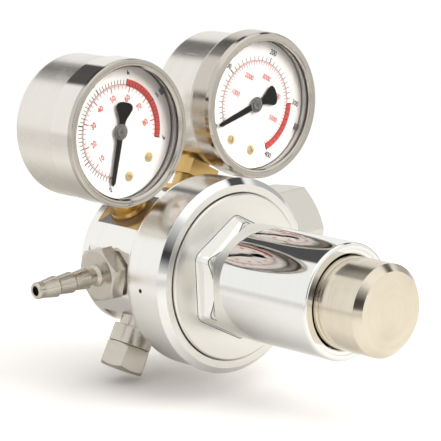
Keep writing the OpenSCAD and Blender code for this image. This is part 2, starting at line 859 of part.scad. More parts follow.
module relief_poppet() {
    pilot_end = relief_poppet_s + relief_head_t + 1.6;
    head_radius = relief_bore_r - 0.9;
    color(BRASS) on_port(RELIEF_ANGLE) difference() {
        union() {
            rod(head_radius, relief_poppet_s + 0.3, relief_poppet_s + relief_head_t);
            rod(1.6, relief_poppet_s + relief_head_t - 0.01, pilot_end);
        }
        rod(relief_seat_r + seat_gap, relief_poppet_s, relief_poppet_s + relief_seat_t);
    }
}

module relief_seat() {
    color(RUBBER) on_port(RELIEF_ANGLE)
        rod(relief_seat_r, relief_poppet_s, relief_poppet_s + relief_seat_t);
}

module relief_spring() {
    color(STEEL) on_port(RELIEF_ANGLE)
        coil_spring(2.6, 0.7, relief_spring_s, relief_spring_end_s, 5.5);
}

// Cup that holds a gauge, with a round hole for its stem and one for its vent plug
module gauge_case(case_r) {
    corner = case_corner_r;
    inner_r = case_r - case_wall;
    color(STEEL) difference() {
        turned(concat(
            [[0, -case_back]],
            arc(case_r - corner, -case_back + corner, corner, -90, 0, 6),
            [[case_r, case_front_w], [inner_r, case_front_w]],
            arc(case_r - corner, -case_back + corner, corner - case_wall, 0, -90, 6),
            [[0, -case_back + case_wall]]
        ));
        along_stem(0) rod(neck_r + 0.2, gauge_arm - case_r - 2, gauge_arm - case_r + 4);
        translate([0, 8, 0]) rod(vent_r, -case_back - cut, case_floor_w + cut);
    }
}

vent_r = 5;

// Lays z along a gauge's stem, counted from the body's axis
module along_stem(w) {
    translate([0, -gauge_arm, w]) rotate([-90, 0, 0]) children();
}

// Rubber plug that blows out of the case's back before the window can burst
module gauge_vent_plug() {
    lip = 0.8;
    color(RUBBER) translate([0, 8, 0]) turned([
        [0, -case_back - lip],
        [vent_r + 0.9, -case_back - lip],
        [vent_r + 1.2, -case_back],
        [vent_r - 0.05, -case_back],
        [vent_r - 0.05, case_floor_w],
        [0, case_floor_w]
    ]);
}

// Narrow bezel with a rolled, polished front edge
module rolled_bezel(case_r, bezel_r, open_r) {
    back_w = bezel_front_w - bezel_len;
    roll_r = 1.3;
    inner_r = case_r + 0.1;
    color(STEEL) turned(concat(
        [[inner_r, back_w], [bezel_r - 0.3, back_w], [bezel_r, back_w + 0.5]],
        arc(bezel_r - roll_r, bezel_front_w - roll_r, roll_r, 0, 90, 6),
        [
            [open_r + 0.5, bezel_front_w - 0.3],
            [open_r, bezel_front_w - 1.1],
            [inner_r, bezel_front_w - 1.1]
        ]
    ));
}

// Wide bezel that swells to a ridge behind a flat front lip
module swelled_bezel(case_r, bezel_r, open_r) {
    back_w = bezel_front_w - bezel_len;
    inner_r = case_r + 0.1;
    color(STEEL) turned([
        [inner_r, back_w],
        [case_r + 0.7, back_w],
        [bezel_r - 0.2, back_w + 2.2],
        [bezel_r, back_w + 2.9],
        [bezel_r - 0.45, bezel_front_w - 0.8],
        [bezel_r - 1.1, bezel_front_w],
        [open_r + 0.4, bezel_front_w - 0.4],
        [open_r, bezel_front_w - 1.1],
        [inner_r, bezel_front_w - 1.1]
    ]);
}

module gauge_window(case_r) {
    color(GLASS) rod(case_r - 0.1, bezel_front_w - 1.3 - window_t, bezel_front_w - 1.3);
}

module gauge_gasket(case_r, open_r) {
    color(RUBBER) tube(case_r - 0.1, open_r + 0.3, case_front_w, case_front_w + gasket_t);
}

module gauge_dial(dial_w) {
    color(WHITE) difference() {
        rod(dial_r, dial_w - dial_t, dial_w);
        rod(arbor_r + 0.5, dial_w - dial_t - cut, dial_w + cut);
        at_dial_screws() rod(0.9, dial_w - dial_t - cut, dial_w + cut);
    }
}

// Repeats a piece at the two dial screws
module at_dial_screws() {
    for (side = [-1, 1]) translate([side * screw_spread, -screw_drop, 0]) children();
}

module gauge_dial_screws(dial_w) {
    head_t = 0.9;
    shank = 2.5;
    color(BRASS) at_dial_screws() difference() {
        union() {
            rod(1.8, dial_w, dial_w + head_t);
            rod(0.8, dial_w - dial_t - shank, dial_w + 0.01);
        }
        translate([-2, -0.25, dial_w + head_t - 0.4]) cube([4, 0.5, 1]);
    }
}

// Small stop that grips the dial's edge
module gauge_clip(dial_w) {
    color(INK) translate([dial_r - 1.6, -1.1, dial_w]) cube([1.5, 2.2, 1.4]);
}

// Tooth outline of a wheel: flanks straight from root to tip, play taken off both sides
function teeth(count, first, root_r, tip_r, root_half, tip_half) = [
    for (i = [0 : count - 1]) for (k = [0 : 3])
        let(r = k == 0 || k == 3 ? root_r : tip_r,
            half = k == 0 || k == 3 ? root_half : tip_half,
            turn = first[0] + i * first[1] + (k < 2 ? -1 : 1) * half / r * 180 / PI)
        [r * cos(turn), r * sin(turn)]
];

// Blade with its hub and broad tail, on an arbor that carries the pinion
module gauge_pointer(dial_w) {
    blade_w = dial_w + 1.4;
    blade_t = 0.5;
    hub_r = 2.4;
    tail_r = 9.4;
    tail_spread = 28;
    pitch = tooth_m * PI;
    color(INK) {
        rotate([0, 0, zero_angle]) translate([0, 0, blade_w]) linear_extrude(blade_t) union() {
            polygon([[0, 1.1], [pointer_len - 1, 0.45], [pointer_len, 0], [pointer_len - 1, -0.45],
                [0, -1.1]]);
            polygon(concat([[0, 0]], arc(0, 0, tail_r, 180 - tail_spread, 180 + tail_spread)));
            circle(r = hub_r);
        }
        rod(hub_r - 0.4, dial_w + 0.8, blade_w + 0.01);
        rod(hub_r - 0.6, blade_w + blade_t - 0.01, blade_w + blade_t + 0.8);
        rod(arbor_r, rear_plate_w, blade_w);
        translate([0, 0, sector_w - 0.3]) linear_extrude(sector_t + 0.6) polygon(teeth(
            pinion_teeth, [pivot_angle + 180 / pinion_teeth, 360 / pinion_teeth],
            tooth_m * (pinion_teeth / 2 - 1.25), tooth_m * (pinion_teeth / 2 + 0.75),
            pitch / 4 - tooth_play / 2, pitch / 4 - tooth_play / 2 - 0.08
        ));
    }
}

// Toothed sector on its arbor, with the tail that the link pulls
module gauge_sector() {
    pitch_angle = 360 / sector_teeth;
    mesh_angle = pivot_angle + 180;
    spare = 1;
    count = ceil(sector_swing / pitch_angle) + 1 + 2 * spare;
    first_angle = mesh_angle + spare * pitch_angle - (count - 1) * pitch_angle;
    pitch_r = tooth_m * sector_teeth / 2;
    root_r = pitch_r - 1.25 * tooth_m;
    rim_in = root_r - 1.6;
    half = tooth_m * PI / 4 - tooth_play / 2;
    last_angle = first_angle + (count - 1) * pitch_angle;
    mid_angle = (first_angle + last_angle) / 2;
    color(BRASS) translate([pivot[0], pivot[1], 0]) {
        translate([0, 0, sector_w]) linear_extrude(sector_t) difference() {
            union() {
                polygon(concat(
                    teeth(count, [first_angle, pitch_angle], root_r, pitch_r + 0.75 * tooth_m,
                        half + 0.12, half - 0.08),
                    arc(0, 0, rim_in, last_angle + 2, first_angle - 2)
                ));
                rotate([0, 0, mid_angle]) polygon([[0, 1.6], [rim_in + 0.5, 2.6],
                    [rim_in + 0.5, -2.6], [0, -1.6]]);
                circle(r = 2);
                rotate([0, 0, tail_angle]) polygon([[0, 1.3], [tail_len, 0.9], [tail_len, -0.9],
                    [0, -1.3]]);
                rotate([0, 0, tail_angle]) translate([tail_len, 0]) circle(r = 0.9);
            }
            rotate([0, 0, tail_angle]) translate([tail_len, 0]) circle(r = link_pin_r + run_gap);
        }
        rod(sector_arbor_r, rear_plate_w, front_plate_w + plate_gauge_t);
    }
}

// Link from the sector's tail to the free end of the Bourdon tube, with its two pins
module gauge_link() {
    color(STEEL) translate([tail[0], tail[1], 0]) rotate([0, 0, link_angle]) {
        translate([0, 0, link_w]) linear_extrude(link_t) difference() {
            union() {
                translate([0, -0.55]) square([link_len, 1.1]);
                circle(r = 0.95);
                translate([link_len, 0]) circle(r = 1.05);
            }
            translate([link_len, 0]) circle(r = link_pin_r + run_gap);
        }
        rod(link_pin_r, sector_w - 0.3, link_w + 0.01);
    }
}

// Plate with round corners
module rounded_plate(x0, y0, x1, y1, r, a, t) {
    translate([0, 0, a]) linear_extrude(t) union() {
        translate([x0 + r, y0]) square([x1 - x0 - 2 * r, y1 - y0]);
        translate([x0, y0 + r]) square([x1 - x0, y1 - y0 - 2 * r]);
        for (x = [x0 + r, x1 - r]) for (y = [y0 + r, y1 - r]) translate([x, y]) circle(r = r);
    }
}

// Two plates on three pillars: the two lower pillars also carry the dial
module gauge_movement(dial_w) {
    left = -8;
    right = 9.6;
    bottom = -18.6;
    top = 9;
    color(BRASS) difference() {
        union() {
            rounded_plate(left, bottom, right, top, 2, rear_plate_w, plate_gauge_t);
            rounded_plate(left, bottom, right, top, 2, front_plate_w, plate_gauge_t);
            at_dial_screws() rod(pillar_r, rear_plate_w, dial_w - dial_t);
            translate([0, 6.5, 0]) rod(pillar_r, rear_plate_w, front_plate_w + plate_gauge_t + 0.6);
        }
        rod(arbor_r + run_gap, rear_plate_w - cut, front_plate_w + 3);
        translate([pivot[0], pivot[1], 0])
            rod(sector_arbor_r + run_gap, rear_plate_w - cut, front_plate_w + 3);
        at_dial_screws() rod(0.9, dial_w - dial_t - 3, dial_w);
    }
}

// Flattened section of the Bourdon tube, grown by an amount
module tube_section(grow) {
    half = tube_t / 2 + grow;
    flat = (tube_w - tube_t) / 2;
    translate([tube_r, tube_mid_w]) union() {
        translate([-half, -flat]) square([2 * half, 2 * flat]);
        for (side = [-1, 1]) translate([0, side * flat]) circle(r = half, $fn = 32);
    }
}

// Curved Bourdon tube, closed at its free end by a lug with the link's pin
module gauge_bourdon_tube() {
    lug_back = tip_pin - [1.2, 0];
    wall = 0.4;
    color(BRASS) {
        difference() {
            rotate([0, 0, tube_tip_angle]) rotate_extrude(angle = tube_root_angle - tube_tip_angle)
                tube_section(0);
            rotate([0, 0, tube_tip_angle + 4])
                rotate_extrude(angle = tube_root_angle - tube_tip_angle) tube_section(-wall);
        }
        translate([lug_back[0], tip_pin[1] - 1.1, link_w + link_t + slide_gap])
            cube([tube_r * cos(tube_tip_angle) - lug_back[0], 2.2, 1.2]);
        translate([tip_pin[0], tip_pin[1], 0])
            rod(link_pin_r, link_w - 0.1, link_w + link_t + slide_gap + 0.01);
    }
}

// Stem from the body's port through the square shank into the block that carries the tube
module gauge_stem(case_r) {
    neck_end = gauge_arm - case_r + neck_reach;
    shank_end = gauge_arm - case_r - shank_gap;
    block_end = gauge_arm - block_top_drop;
    socket_top = tube_mid_w + tube_w / 2 - 1;
    color(BRASS) difference() {
        union() {
            along_stem(0) {
                rod(port_r - thread_gap, thread_s, flat_d - 0.4);
                rod(neck_r, flat_d - 0.41, neck_end + 0.01);
                rod(collar_r, flat_d + washer_t, flat_d + washer_t + collar_t);
            }
            translate([-shank_af / 2, shank_end - shank_len - gauge_arm, -shank_af / 2])
                cube([shank_af, shank_len, shank_af]);
            block(-block_half, block_half, neck_end, block_end, block_back_w, block_top_w);
            block(socket_left, 0.1 - block_half, gauge_arm - socket_drop - 0.8, block_end,
                block_back_w, block_top_w);
            block(socket_left, socket_right, gauge_arm - socket_drop, block_end + 0.6,
                block_top_w - 0.01, socket_top);
        }
        along_stem(0) rod(gauge_passage_r, thread_s - cut, block_end - 3);
        rotate([0, 0, tube_root_angle - 24]) rotate_extrude(angle = 24) tube_section(0.08);
    }
}

// Box inside a gauge, from x0 to x1, between two distances along the stem and two levels
module block(x0, x1, s0, s1, a, b) {
    translate([x0, s0 - gauge_arm, a]) cube([x1 - x0, s1 - s0, b - a]);
}

module gauge_washer() {
    color(BRONZE) along_stem(0) tube(washer_r, neck_r + 0.15, flat_d, flat_d + washer_t);
}

low_dial_w = bezel_front_w - low_dial_depth;
high_dial_w = bezel_front_w - high_dial_depth;

module low_case() on_gauge(low_angle) gauge_case(low_case_r);
module low_bezel() on_gauge(low_angle) rolled_bezel(low_case_r, low_bezel_r, low_open_r);
module low_window() on_gauge(low_angle) gauge_window(low_case_r);
module low_gasket() on_gauge(low_angle) gauge_gasket(low_case_r, low_open_r);
module low_dial() on_gauge(low_angle) gauge_dial(low_dial_w);
module low_dial_screws() on_gauge(low_angle) gauge_dial_screws(low_dial_w);
module low_clip() on_gauge(low_angle) gauge_clip(low_dial_w);
module low_pointer() on_gauge(low_angle) gauge_pointer(low_dial_w);
module low_stem() on_gauge(low_angle) gauge_stem(low_case_r);
module low_washer() on_gauge(low_angle) gauge_washer();
module low_bourdon_tube() on_gauge(low_angle) gauge_bourdon_tube();
module low_movement() on_gauge(low_angle) gauge_movement(low_dial_w);
module low_sector() on_gauge(low_angle) gauge_sector();
module low_link() on_gauge(low_angle) gauge_link();
module low_vent_plug() on_gauge(low_angle) gauge_vent_plug();

module high_case() on_gauge(high_angle) gauge_case(high_case_r);
module high_bezel() on_gauge(high_angle) swelled_bezel(high_case_r, high_bezel_r, high_open_r);
module high_window() on_gauge(high_angle) gauge_window(high_case_r);
module high_gasket() on_gauge(high_angle) gauge_gasket(high_case_r, high_open_r);
module high_dial() on_gauge(high_angle) gauge_dial(high_dial_w);
module high_dial_screws() on_gauge(high_angle) gauge_dial_screws(high_dial_w);
module high_clip() on_gauge(high_angle) gauge_clip(high_dial_w);
module high_pointer() on_gauge(high_angle) gauge_pointer(high_dial_w);
module high_stem() on_gauge(high_angle) gauge_stem(high_case_r);
module high_washer() on_gauge(high_angle) gauge_washer();
module high_bourdon_tube() on_gauge(high_angle) gauge_bourdon_tube();
module high_movement() on_gauge(high_angle) gauge_movement(high_dial_w);
module high_sector() on_gauge(high_angle) gauge_sector();
module high_link() on_gauge(high_angle) gauge_link();
module high_vent_plug() on_gauge(high_angle) gauge_vent_plug();

body();
clamp_ring();
bonnet();
slip_ring();
diaphragm();
diaphragm_plate();
diaphragm_nut();
main_spring();
spring_button();
adjusting_screw();
lock_nut();
cap();
cap_o_ring();
seat_nozzle();
valve_pin();
poppet();
poppet_spring();
inlet_nipple();
inlet_nut();
inlet_filter();
inlet_seal();
outlet_barb();
outlet_washer();
relief_body();
relief_cap();
relief_poppet();
relief_seat();
relief_spring();
low_case();
low_bezel();
low_window();
low_gasket();
low_dial();
low_dial_screws();
low_clip();
low_pointer();
low_stem();
low_washer();
low_bourdon_tube();
low_movement();
low_sector();
low_link();
low_vent_plug();
high_case();
high_bezel();
high_window();
high_gasket();
high_dial();
high_dial_screws();
high_clip();
high_pointer();
high_stem();
high_washer();
high_bourdon_tube();
high_movement();
high_sector();
high_link();
high_vent_plug();
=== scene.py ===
"""Looks of the two-gauge medical gas regulator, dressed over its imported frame.

Lengths in the classes are millimetres. A piece is worked out in its own axes, where z leads
along its axis of turning, and a Place carries it into the shared frame in metres.
"""

import json
import logging
import math
from dataclasses import dataclass, replace
from enum import Enum
from typing import Callable

import bpy
import numpy as np
from mathutils import Matrix, Vector


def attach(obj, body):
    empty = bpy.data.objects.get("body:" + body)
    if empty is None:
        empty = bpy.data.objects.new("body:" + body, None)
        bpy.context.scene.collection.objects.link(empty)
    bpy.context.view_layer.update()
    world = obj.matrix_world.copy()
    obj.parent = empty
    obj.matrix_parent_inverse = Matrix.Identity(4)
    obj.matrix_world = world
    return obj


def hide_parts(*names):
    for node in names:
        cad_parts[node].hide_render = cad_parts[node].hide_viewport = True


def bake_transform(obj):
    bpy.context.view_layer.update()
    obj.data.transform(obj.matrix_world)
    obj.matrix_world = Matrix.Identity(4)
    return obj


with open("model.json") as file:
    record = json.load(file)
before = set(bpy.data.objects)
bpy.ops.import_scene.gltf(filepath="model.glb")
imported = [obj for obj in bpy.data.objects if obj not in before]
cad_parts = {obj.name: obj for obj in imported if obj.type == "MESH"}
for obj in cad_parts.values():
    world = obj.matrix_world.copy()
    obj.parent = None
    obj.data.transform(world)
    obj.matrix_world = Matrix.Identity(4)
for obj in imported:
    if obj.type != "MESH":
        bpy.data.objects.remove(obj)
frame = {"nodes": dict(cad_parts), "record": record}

Array = np.ndarray
Pair = tuple[float, float]
Triple = tuple[float, float, float]
Colour = tuple[float, float, float, float]
Socket = bpy.types.NodeSocket
LOG = logging.getLogger("regulator")
MM = 0.001
TURN = 2.0 * math.pi


# Places in the shared frame


@dataclass(frozen=True)
class Place:
    """A right-handed set of axes in the shared frame, with its origin in millimetres."""

    origin: Triple
    right: Triple
    up: Triple
    out: Triple

    def points(self, local: Array) -> Array:
        """Carries points into the shared frame.

        Args:
            local: Points in the piece's own axes, in millimetres.

        Returns:
            origin + x times right + y times up + z times out, in metres.
        """
        return (np.asarray(self.origin) + local @ self._axes()) * MM

    def vectors(self, local: Array) -> Array:
        """Returns directions turned into the shared frame."""
        return local @ self._axes()

    def local(self, points: Array) -> Array:
        """Returns points of the shared frame, in metres, in the piece's axes, in millimetres."""
        return (points / MM - np.asarray(self.origin)) @ self._axes().T

    def _axes(self) -> Array:
        """Returns the three axes as the rows of a matrix."""
        return np.array([self.right, self.up, self.out], float)


# Distance from the inlet's face to the body's axis, and from there to a gauge's axis
REACH = 71.0
GAUGE_ARM = 65.3

# Angles of the ports and the gauges round the body, in degrees from +X towards +Z
INLET_ANGLE = 0.0
HIGH_ANGLE = 60.0
LOW_ANGLE = 120.0
OUTLET_ANGLE = 180.0
RELIEF_ANGLE = 240.0


def body_place() -> Place:
    """Returns the axes of the body, where z counts forward from the port plane."""
    return Place((-REACH, 0.0, 0.0), (1.0, 0.0, 0.0), (0.0, 0.0, 1.0), (0.0, -1.0, 0.0))


def port_place(angle: float) -> Place:
    """Finds the axes of a port, where z counts outward from the body's axis.

    Args:
        angle: Degrees round the body from +X towards +Z.

    Returns:
        The port's place.
    """
    c, s = math.cos(math.radians(angle)), math.sin(math.radians(angle))
    return Place((-REACH, 0.0, 0.0), (0.0, 1.0, 0.0), (-s, 0.0, c), (c, 0.0, s))


def gauge_place(angle: float) -> Place:
    """Finds the axes of a gauge: x and y lie in the dial and z leads to the viewer.

    Args:
        angle: Degrees round the body at which the gauge stands.

    Returns:
        The gauge's place.
    """
    c, s = math.cos(math.radians(angle - 90.0)), math.sin(math.radians(angle - 90.0))
    return Place((-REACH - GAUGE_ARM * s, 0.0, GAUGE_ARM * c), (c, 0.0, s), (-s, 0.0, c),
                 (0.0, -1.0, 0.0))


# Turned outlines


@dataclass(frozen=True)
class Outline:
    """A turned profile: radius and station pairs, each with the way its surface faces."""

    points: Array
    normals: Array

    def lengths(self) -> Array:
        """Returns the distance along the outline at each point."""
        step = np.linalg.norm(np.diff(self.points, axis=0), axis=1)
        return np.concatenate([[0.0], np.cumsum(step)])


def filleted(corners: list[Pair], rounding: float | list[float], steps: int = 5) -> Outline:
    """Rounds the inner corners of a path of straight runs.

    Each corner is cut back by rounding times the tangent of half its turn and gets an arc whose
    normals turn evenly from one run's to the next's. A path that leads forward on the outside
    and back in the bore faces away from the metal.

    Args:
        corners: Radius and station of each corner.
        rounding: Radius of the arcs, one for all or one for each inner corner.
        steps: Parts in each arc.

    Returns:
        The outline with exact normals.
    """
    p = np.asarray(corners, float)
    run = np.diff(p, axis=0)
    length = np.linalg.norm(run, axis=1)
    run = run / length[:, None]
    face = np.stack([run[:, 1], -run[:, 0]], axis=1)
    if len(p) == 2:
        return Outline(p, np.repeat(face, 2, axis=0))
    cross = run[:-1, 0] * run[1:, 1] - run[:-1, 1] * run[1:, 0]
    turn = np.arctan2(cross, (run[:-1] * run[1:]).sum(axis=1))
    half_tan = np.maximum(np.tan(np.abs(turn) / 2.0), 1e-9)
    rho = np.broadcast_to(np.asarray(rounding, float), turn.shape)
    rho = np.minimum(rho, 0.48 * np.minimum(length[:-1], length[1:]) / half_tan)
    back = (rho * half_tan)[:, None]
    tangent = p[1:-1] - run[:-1] * back
    side = np.where(turn < 0.0, -1.0, 1.0)[:, None]
    centre = tangent - side * rho[:, None] * face[:-1]
    swing = turn[:, None] * np.linspace(0.0, 1.0, steps + 1)[None, :]
    c, s = np.cos(swing), np.sin(swing)
    fx, fy = face[:-1, :1], face[:-1, 1:]
    normals = np.stack([fx * c - fy * s, fx * s + fy * c], axis=-1)
    arcs = centre[:, None, :] + (side * rho[:, None])[:, None, :] * normals
    starts = np.concatenate([p[:1], p[1:-1] + run[1:] * back])
    ends = np.concatenate([tangent, p[-1:]])
    body_p = np.concatenate([starts[:-1, None], ends[:-1, None], arcs], axis=1).reshape(-1, 2)
    body_n = np.concatenate([face[:-1, None], face[:-1, None], normals], axis=1).reshape(-1, 2)
    return Outline(np.concatenate([body_p, starts[-1:], ends[-1:]]),
                   np.concatenate([body_n, face[-1:], face[-1:]]))


def curved(points: Array) -> Outline:
    """Makes an outline along a smooth curve, with normals square to its central differences.

    Args:
        points: Radius and station of each point.

    Returns:
        The outline.
    """
    way = np.gradient(points, axis=0)
    way = way / np.linalg.norm(way, axis=1)[:, None]
    return Outline(points, np.stack([way[:, 1], -way[:, 0]], axis=1))


def arc(cx: float, cy: float, r: float, start: float, end: float, steps: int = 10) -> Array:
    """Returns points of a circle's arc from one angle to another, in degrees."""
    t = np.radians(np.linspace(start, end, steps + 1))
    return np.stack([cx + r * np.cos(t), cy + r * np.sin(t)], axis=1)


# Surfaces and their meshes


def columns(edges: Array | None = None, coarse: int = 120) -> Array:
    """Returns the angles of a surface's columns, closer together beside each edge.

    Args:
        edges: Angles of ridges, in radians.
        coarse: Even columns round the whole turn.

    Returns:
        Rising angles from 0 to a full turn, both included.
    """
    even = np.linspace(0.0, TURN, coarse, endpoint=False)
    if edges is not None:
        near = np.radians([-2.4, -1.5, -1.0, -0.65, -0.4, -0.2, 0.0, 0.2, 0.4, 0.65, 1.0, 1.5, 2.4])
        even = np.concatenate([even, (np.asarray(edges)[:, None] + near[None, :]).ravel() % TURN])
    inner = np.unique(np.round(even, 5))
    inner = inner[(inner > 1e-4) & (inner < TURN - 1e-4)]
    return np.concatenate([[0.0], inner, [TURN]])


def rounded_polygon(theta: Array, sides: int, across: float, turn: float, rho: float) -> Array:
    """Distance from the centre to a regular polygon's edge whose corners are rounded.

    On a flat it is half the width across flats over the cosine of the angle from the flat's
    middle. On a corner it is the far crossing with the circle of the rounding.

    Args:
        theta: Angles, in radians.
        sides: Number of flats.
        across: Width across flats.
        turn: Angle of a corner, in degrees.
        rho: Radius of the corners.

    Returns:
        The distance at each angle.
    """
    step = TURN / sides
    half = step / 2.0
    apothem = across / 2.0
    phi = np.abs((theta - math.radians(turn)) % step - half)
    flat = apothem / np.cos(phi)
    reach = (apothem - rho) / math.cos(half)
    delta = half - phi
    corner = reach * np.cos(delta) + np.sqrt(np.maximum(rho**2 - (reach * np.sin(delta)) ** 2, 0.0))
    on_corner = apothem * np.tan(phi) > (apothem - rho) * math.tan(half)
    return np.where(on_corner, corner, flat)


def soft_least(a: Array, b: Array, blend: float) -> Array:
    """Finds the smaller of two surfaces, with the ridge between them rounded.

    It is minus blend times the logarithm of exp(-a / blend) plus exp(-b / blend).

    Args:
        a: The first surface's distances.
        b: The second surface's.
        blend: How far the rounding reaches.

    Returns:
        The distance at each place.
    """
    return -blend * np.logaddexp(-a / blend, -b / blend)


@dataclass
class Patch:
    """A grid of points with normals and a map of turns and distance in millimetres."""

    points: Array
    normals: Array
    chart: Array
    finish: int = 0


def lathe(outline: Outline, theta: Array, finish: int = 0) -> Patch:
    """Carries an outline round the axis: x = r cos t, y = r sin t, z = station.

    Args:
        outline: The profile.
        theta: Angles of the columns.
        finish: Number of the finish that the patch takes.

    Returns:
        The patch of the turned surface.
    """
    c, s = np.cos(theta)[None, :], np.sin(theta)[None, :]
    r, z = outline.points[:, :1], outline.points[:, 1:]
    nr, nz = outline.normals[:, :1], outline.normals[:, 1:]
    points = np.stack([r * c, r * s, z + 0.0 * c], axis=-1)
    normals = np.stack([nr * c, nr * s, nz + 0.0 * c], axis=-1)
    mean_r = np.maximum(outline.points[:, :1], 1.0)
    chart = np.stack([theta[None, :] / TURN + 0.0 * mean_r,
                      outline.lengths()[:, None] + 0.0 * c], axis=-1)
    return Patch(points, normals, chart, finish)


def sculpted(radius: Array, station: Array, theta: Array, finish: int = 0) -> Patch:
    """Builds the patch of a surface whose radius changes with angle and row.

    A point is x = r cos t, y = r sin t, z = station, and its normal is the cross product of the
    differences round and along.

    Args:
        radius: Radius in rows along the axis and columns round it.
        station: Station of each row, or of each point.
        theta: Angles of the columns.
        finish: Number of the finish that the patch takes.

    Returns:
        The patch.
    """
    z = np.broadcast_to(station if station.ndim == 2 else station[:, None], radius.shape)
    points = np.stack([radius * np.cos(theta), radius * np.sin(theta), z], axis=-1)
    along = np.gradient(points, axis=0)
    padded = np.concatenate([points[:, -2:-1], points, points[:, 1:2]], axis=1)
    ahead = np.concatenate([theta[-2:-1] - TURN, theta, theta[1:2] + TURN])
    gap = np.diff(ahead)
    left = (padded[:, 1:-1] - padded[:, :-2]) / gap[None, :-1, None]
    right = (padded[:, 2:] - padded[:, 1:-1]) / gap[None, 1:, None]
    weight = (gap[:-1] / (gap[:-1] + gap[1:]))[None, :, None]
    around = right * weight + left * (1.0 - weight)
    normals = np.cross(around, along)
    normals = normals / np.maximum(np.linalg.norm(normals, axis=-1, keepdims=True), 1e-12)
    step = np.linalg.norm(np.diff(points, axis=0), axis=-1)
    run = np.concatenate([np.zeros((1, radius.shape[1])), np.cumsum(step, axis=0)])
    chart = np.stack([np.broadcast_to(theta / TURN, radius.shape), run], axis=-1)
    return Patch(points, normals, chart, finish)


def ring_between(inner: float | Array, outer: float | Array, station: float, theta: Array,
                 faces: float, finish: int = 0) -> Patch:
    """Builds a flat face between two closed edges, x = r cos t and y = r sin t, at one station.

    Args:
        inner: Radius of the edge that comes first along the profile.
        outer: Radius of the edge that comes second.
        station: Station of the face.
        theta: Angles of the columns.
        faces: 1 if the face looks forward along z, or -1 if it looks back.
        finish: Number of the finish that the patch takes.

    Returns:
        The patch.
    """
    radius = np.stack([inner + 0.0 * theta, outer + 0.0 * theta])
    points = np.stack([radius * np.cos(theta), radius * np.sin(theta),
                       np.full(radius.shape, station)], axis=-1)
    normals = np.zeros_like(points)
    normals[..., 2] = faces
    chart = np.stack([np.broadcast_to(theta / TURN, radius.shape), radius], axis=-1)
    return Patch(points, normals, chart, finish)


def tube_along(path: Array, half_wide: Array, half_high: Array, around: int = 16,
               power: float = 2.0) -> Patch:
    """Carries an oval section along a path in the xy plane.

    The section is a superellipse: across is half_wide times the signed cosine to the power of
    two over power, and height is half_high times the signed sine to the same power.

    Args:
        path: Points x, y, z of the middle line.
        half_wide: Half width in the plane at each point.
        half_high: Half height along z at each point.
        around: Points round the section.
        power: Exponent of the superellipse; 2 is an ellipse and more is squarer.

    Returns:
        A closed patch with its ends drawn together.
    """
    way = np.gradient(path, axis=0)
    way = way / np.linalg.norm(way, axis=1)[:, None]
    side = np.stack([-way[:, 1], way[:, 0], np.zeros(len(path))], axis=1)
    t = np.linspace(0.0, TURN, around + 1)
    c, s = np.cos(t), np.sin(t)
    e = 2.0 / power
    across = np.sign(c) * np.abs(c) ** e
    height = np.sign(s) * np.abs(s) ** e
    up = np.array([0.0, 0.0, 1.0])
    points = (path[:, None] + side[:, None] * (half_wide[:, None] * across)[..., None]
              + up * (half_high[:, None] * height)[..., None])
    points = np.concatenate([path[:1, None] + 0 * points[:1], points,
                             path[-1:, None] + 0 * points[-1:]])
    across_n = np.sign(c) * np.abs(c) ** (2.0 - e)
    height_n = np.sign(s) * np.abs(s) ** (2.0 - e)
    normals = (side[:, None] * (half_high[:, None] * across_n)[..., None]
               + up * (half_wide[:, None] * height_n)[..., None])
    normals = np.concatenate([-way[:1, None] + 0 * normals[:1], normals,
                              way[-1:, None] + 0 * normals[-1:]])
    normals = normals / np.maximum(np.linalg.norm(normals, axis=-1, keepdims=True), 1e-9)
    rows = np.concatenate([[0.0], np.cumsum(np.linalg.norm(np.diff(points[:, 0], axis=0), axis=1))])
    chart = np.stack(np.meshgrid(t / TURN, rows), axis=-1)
    return Patch(points[:, ::-1], normals[:, ::-1], chart)


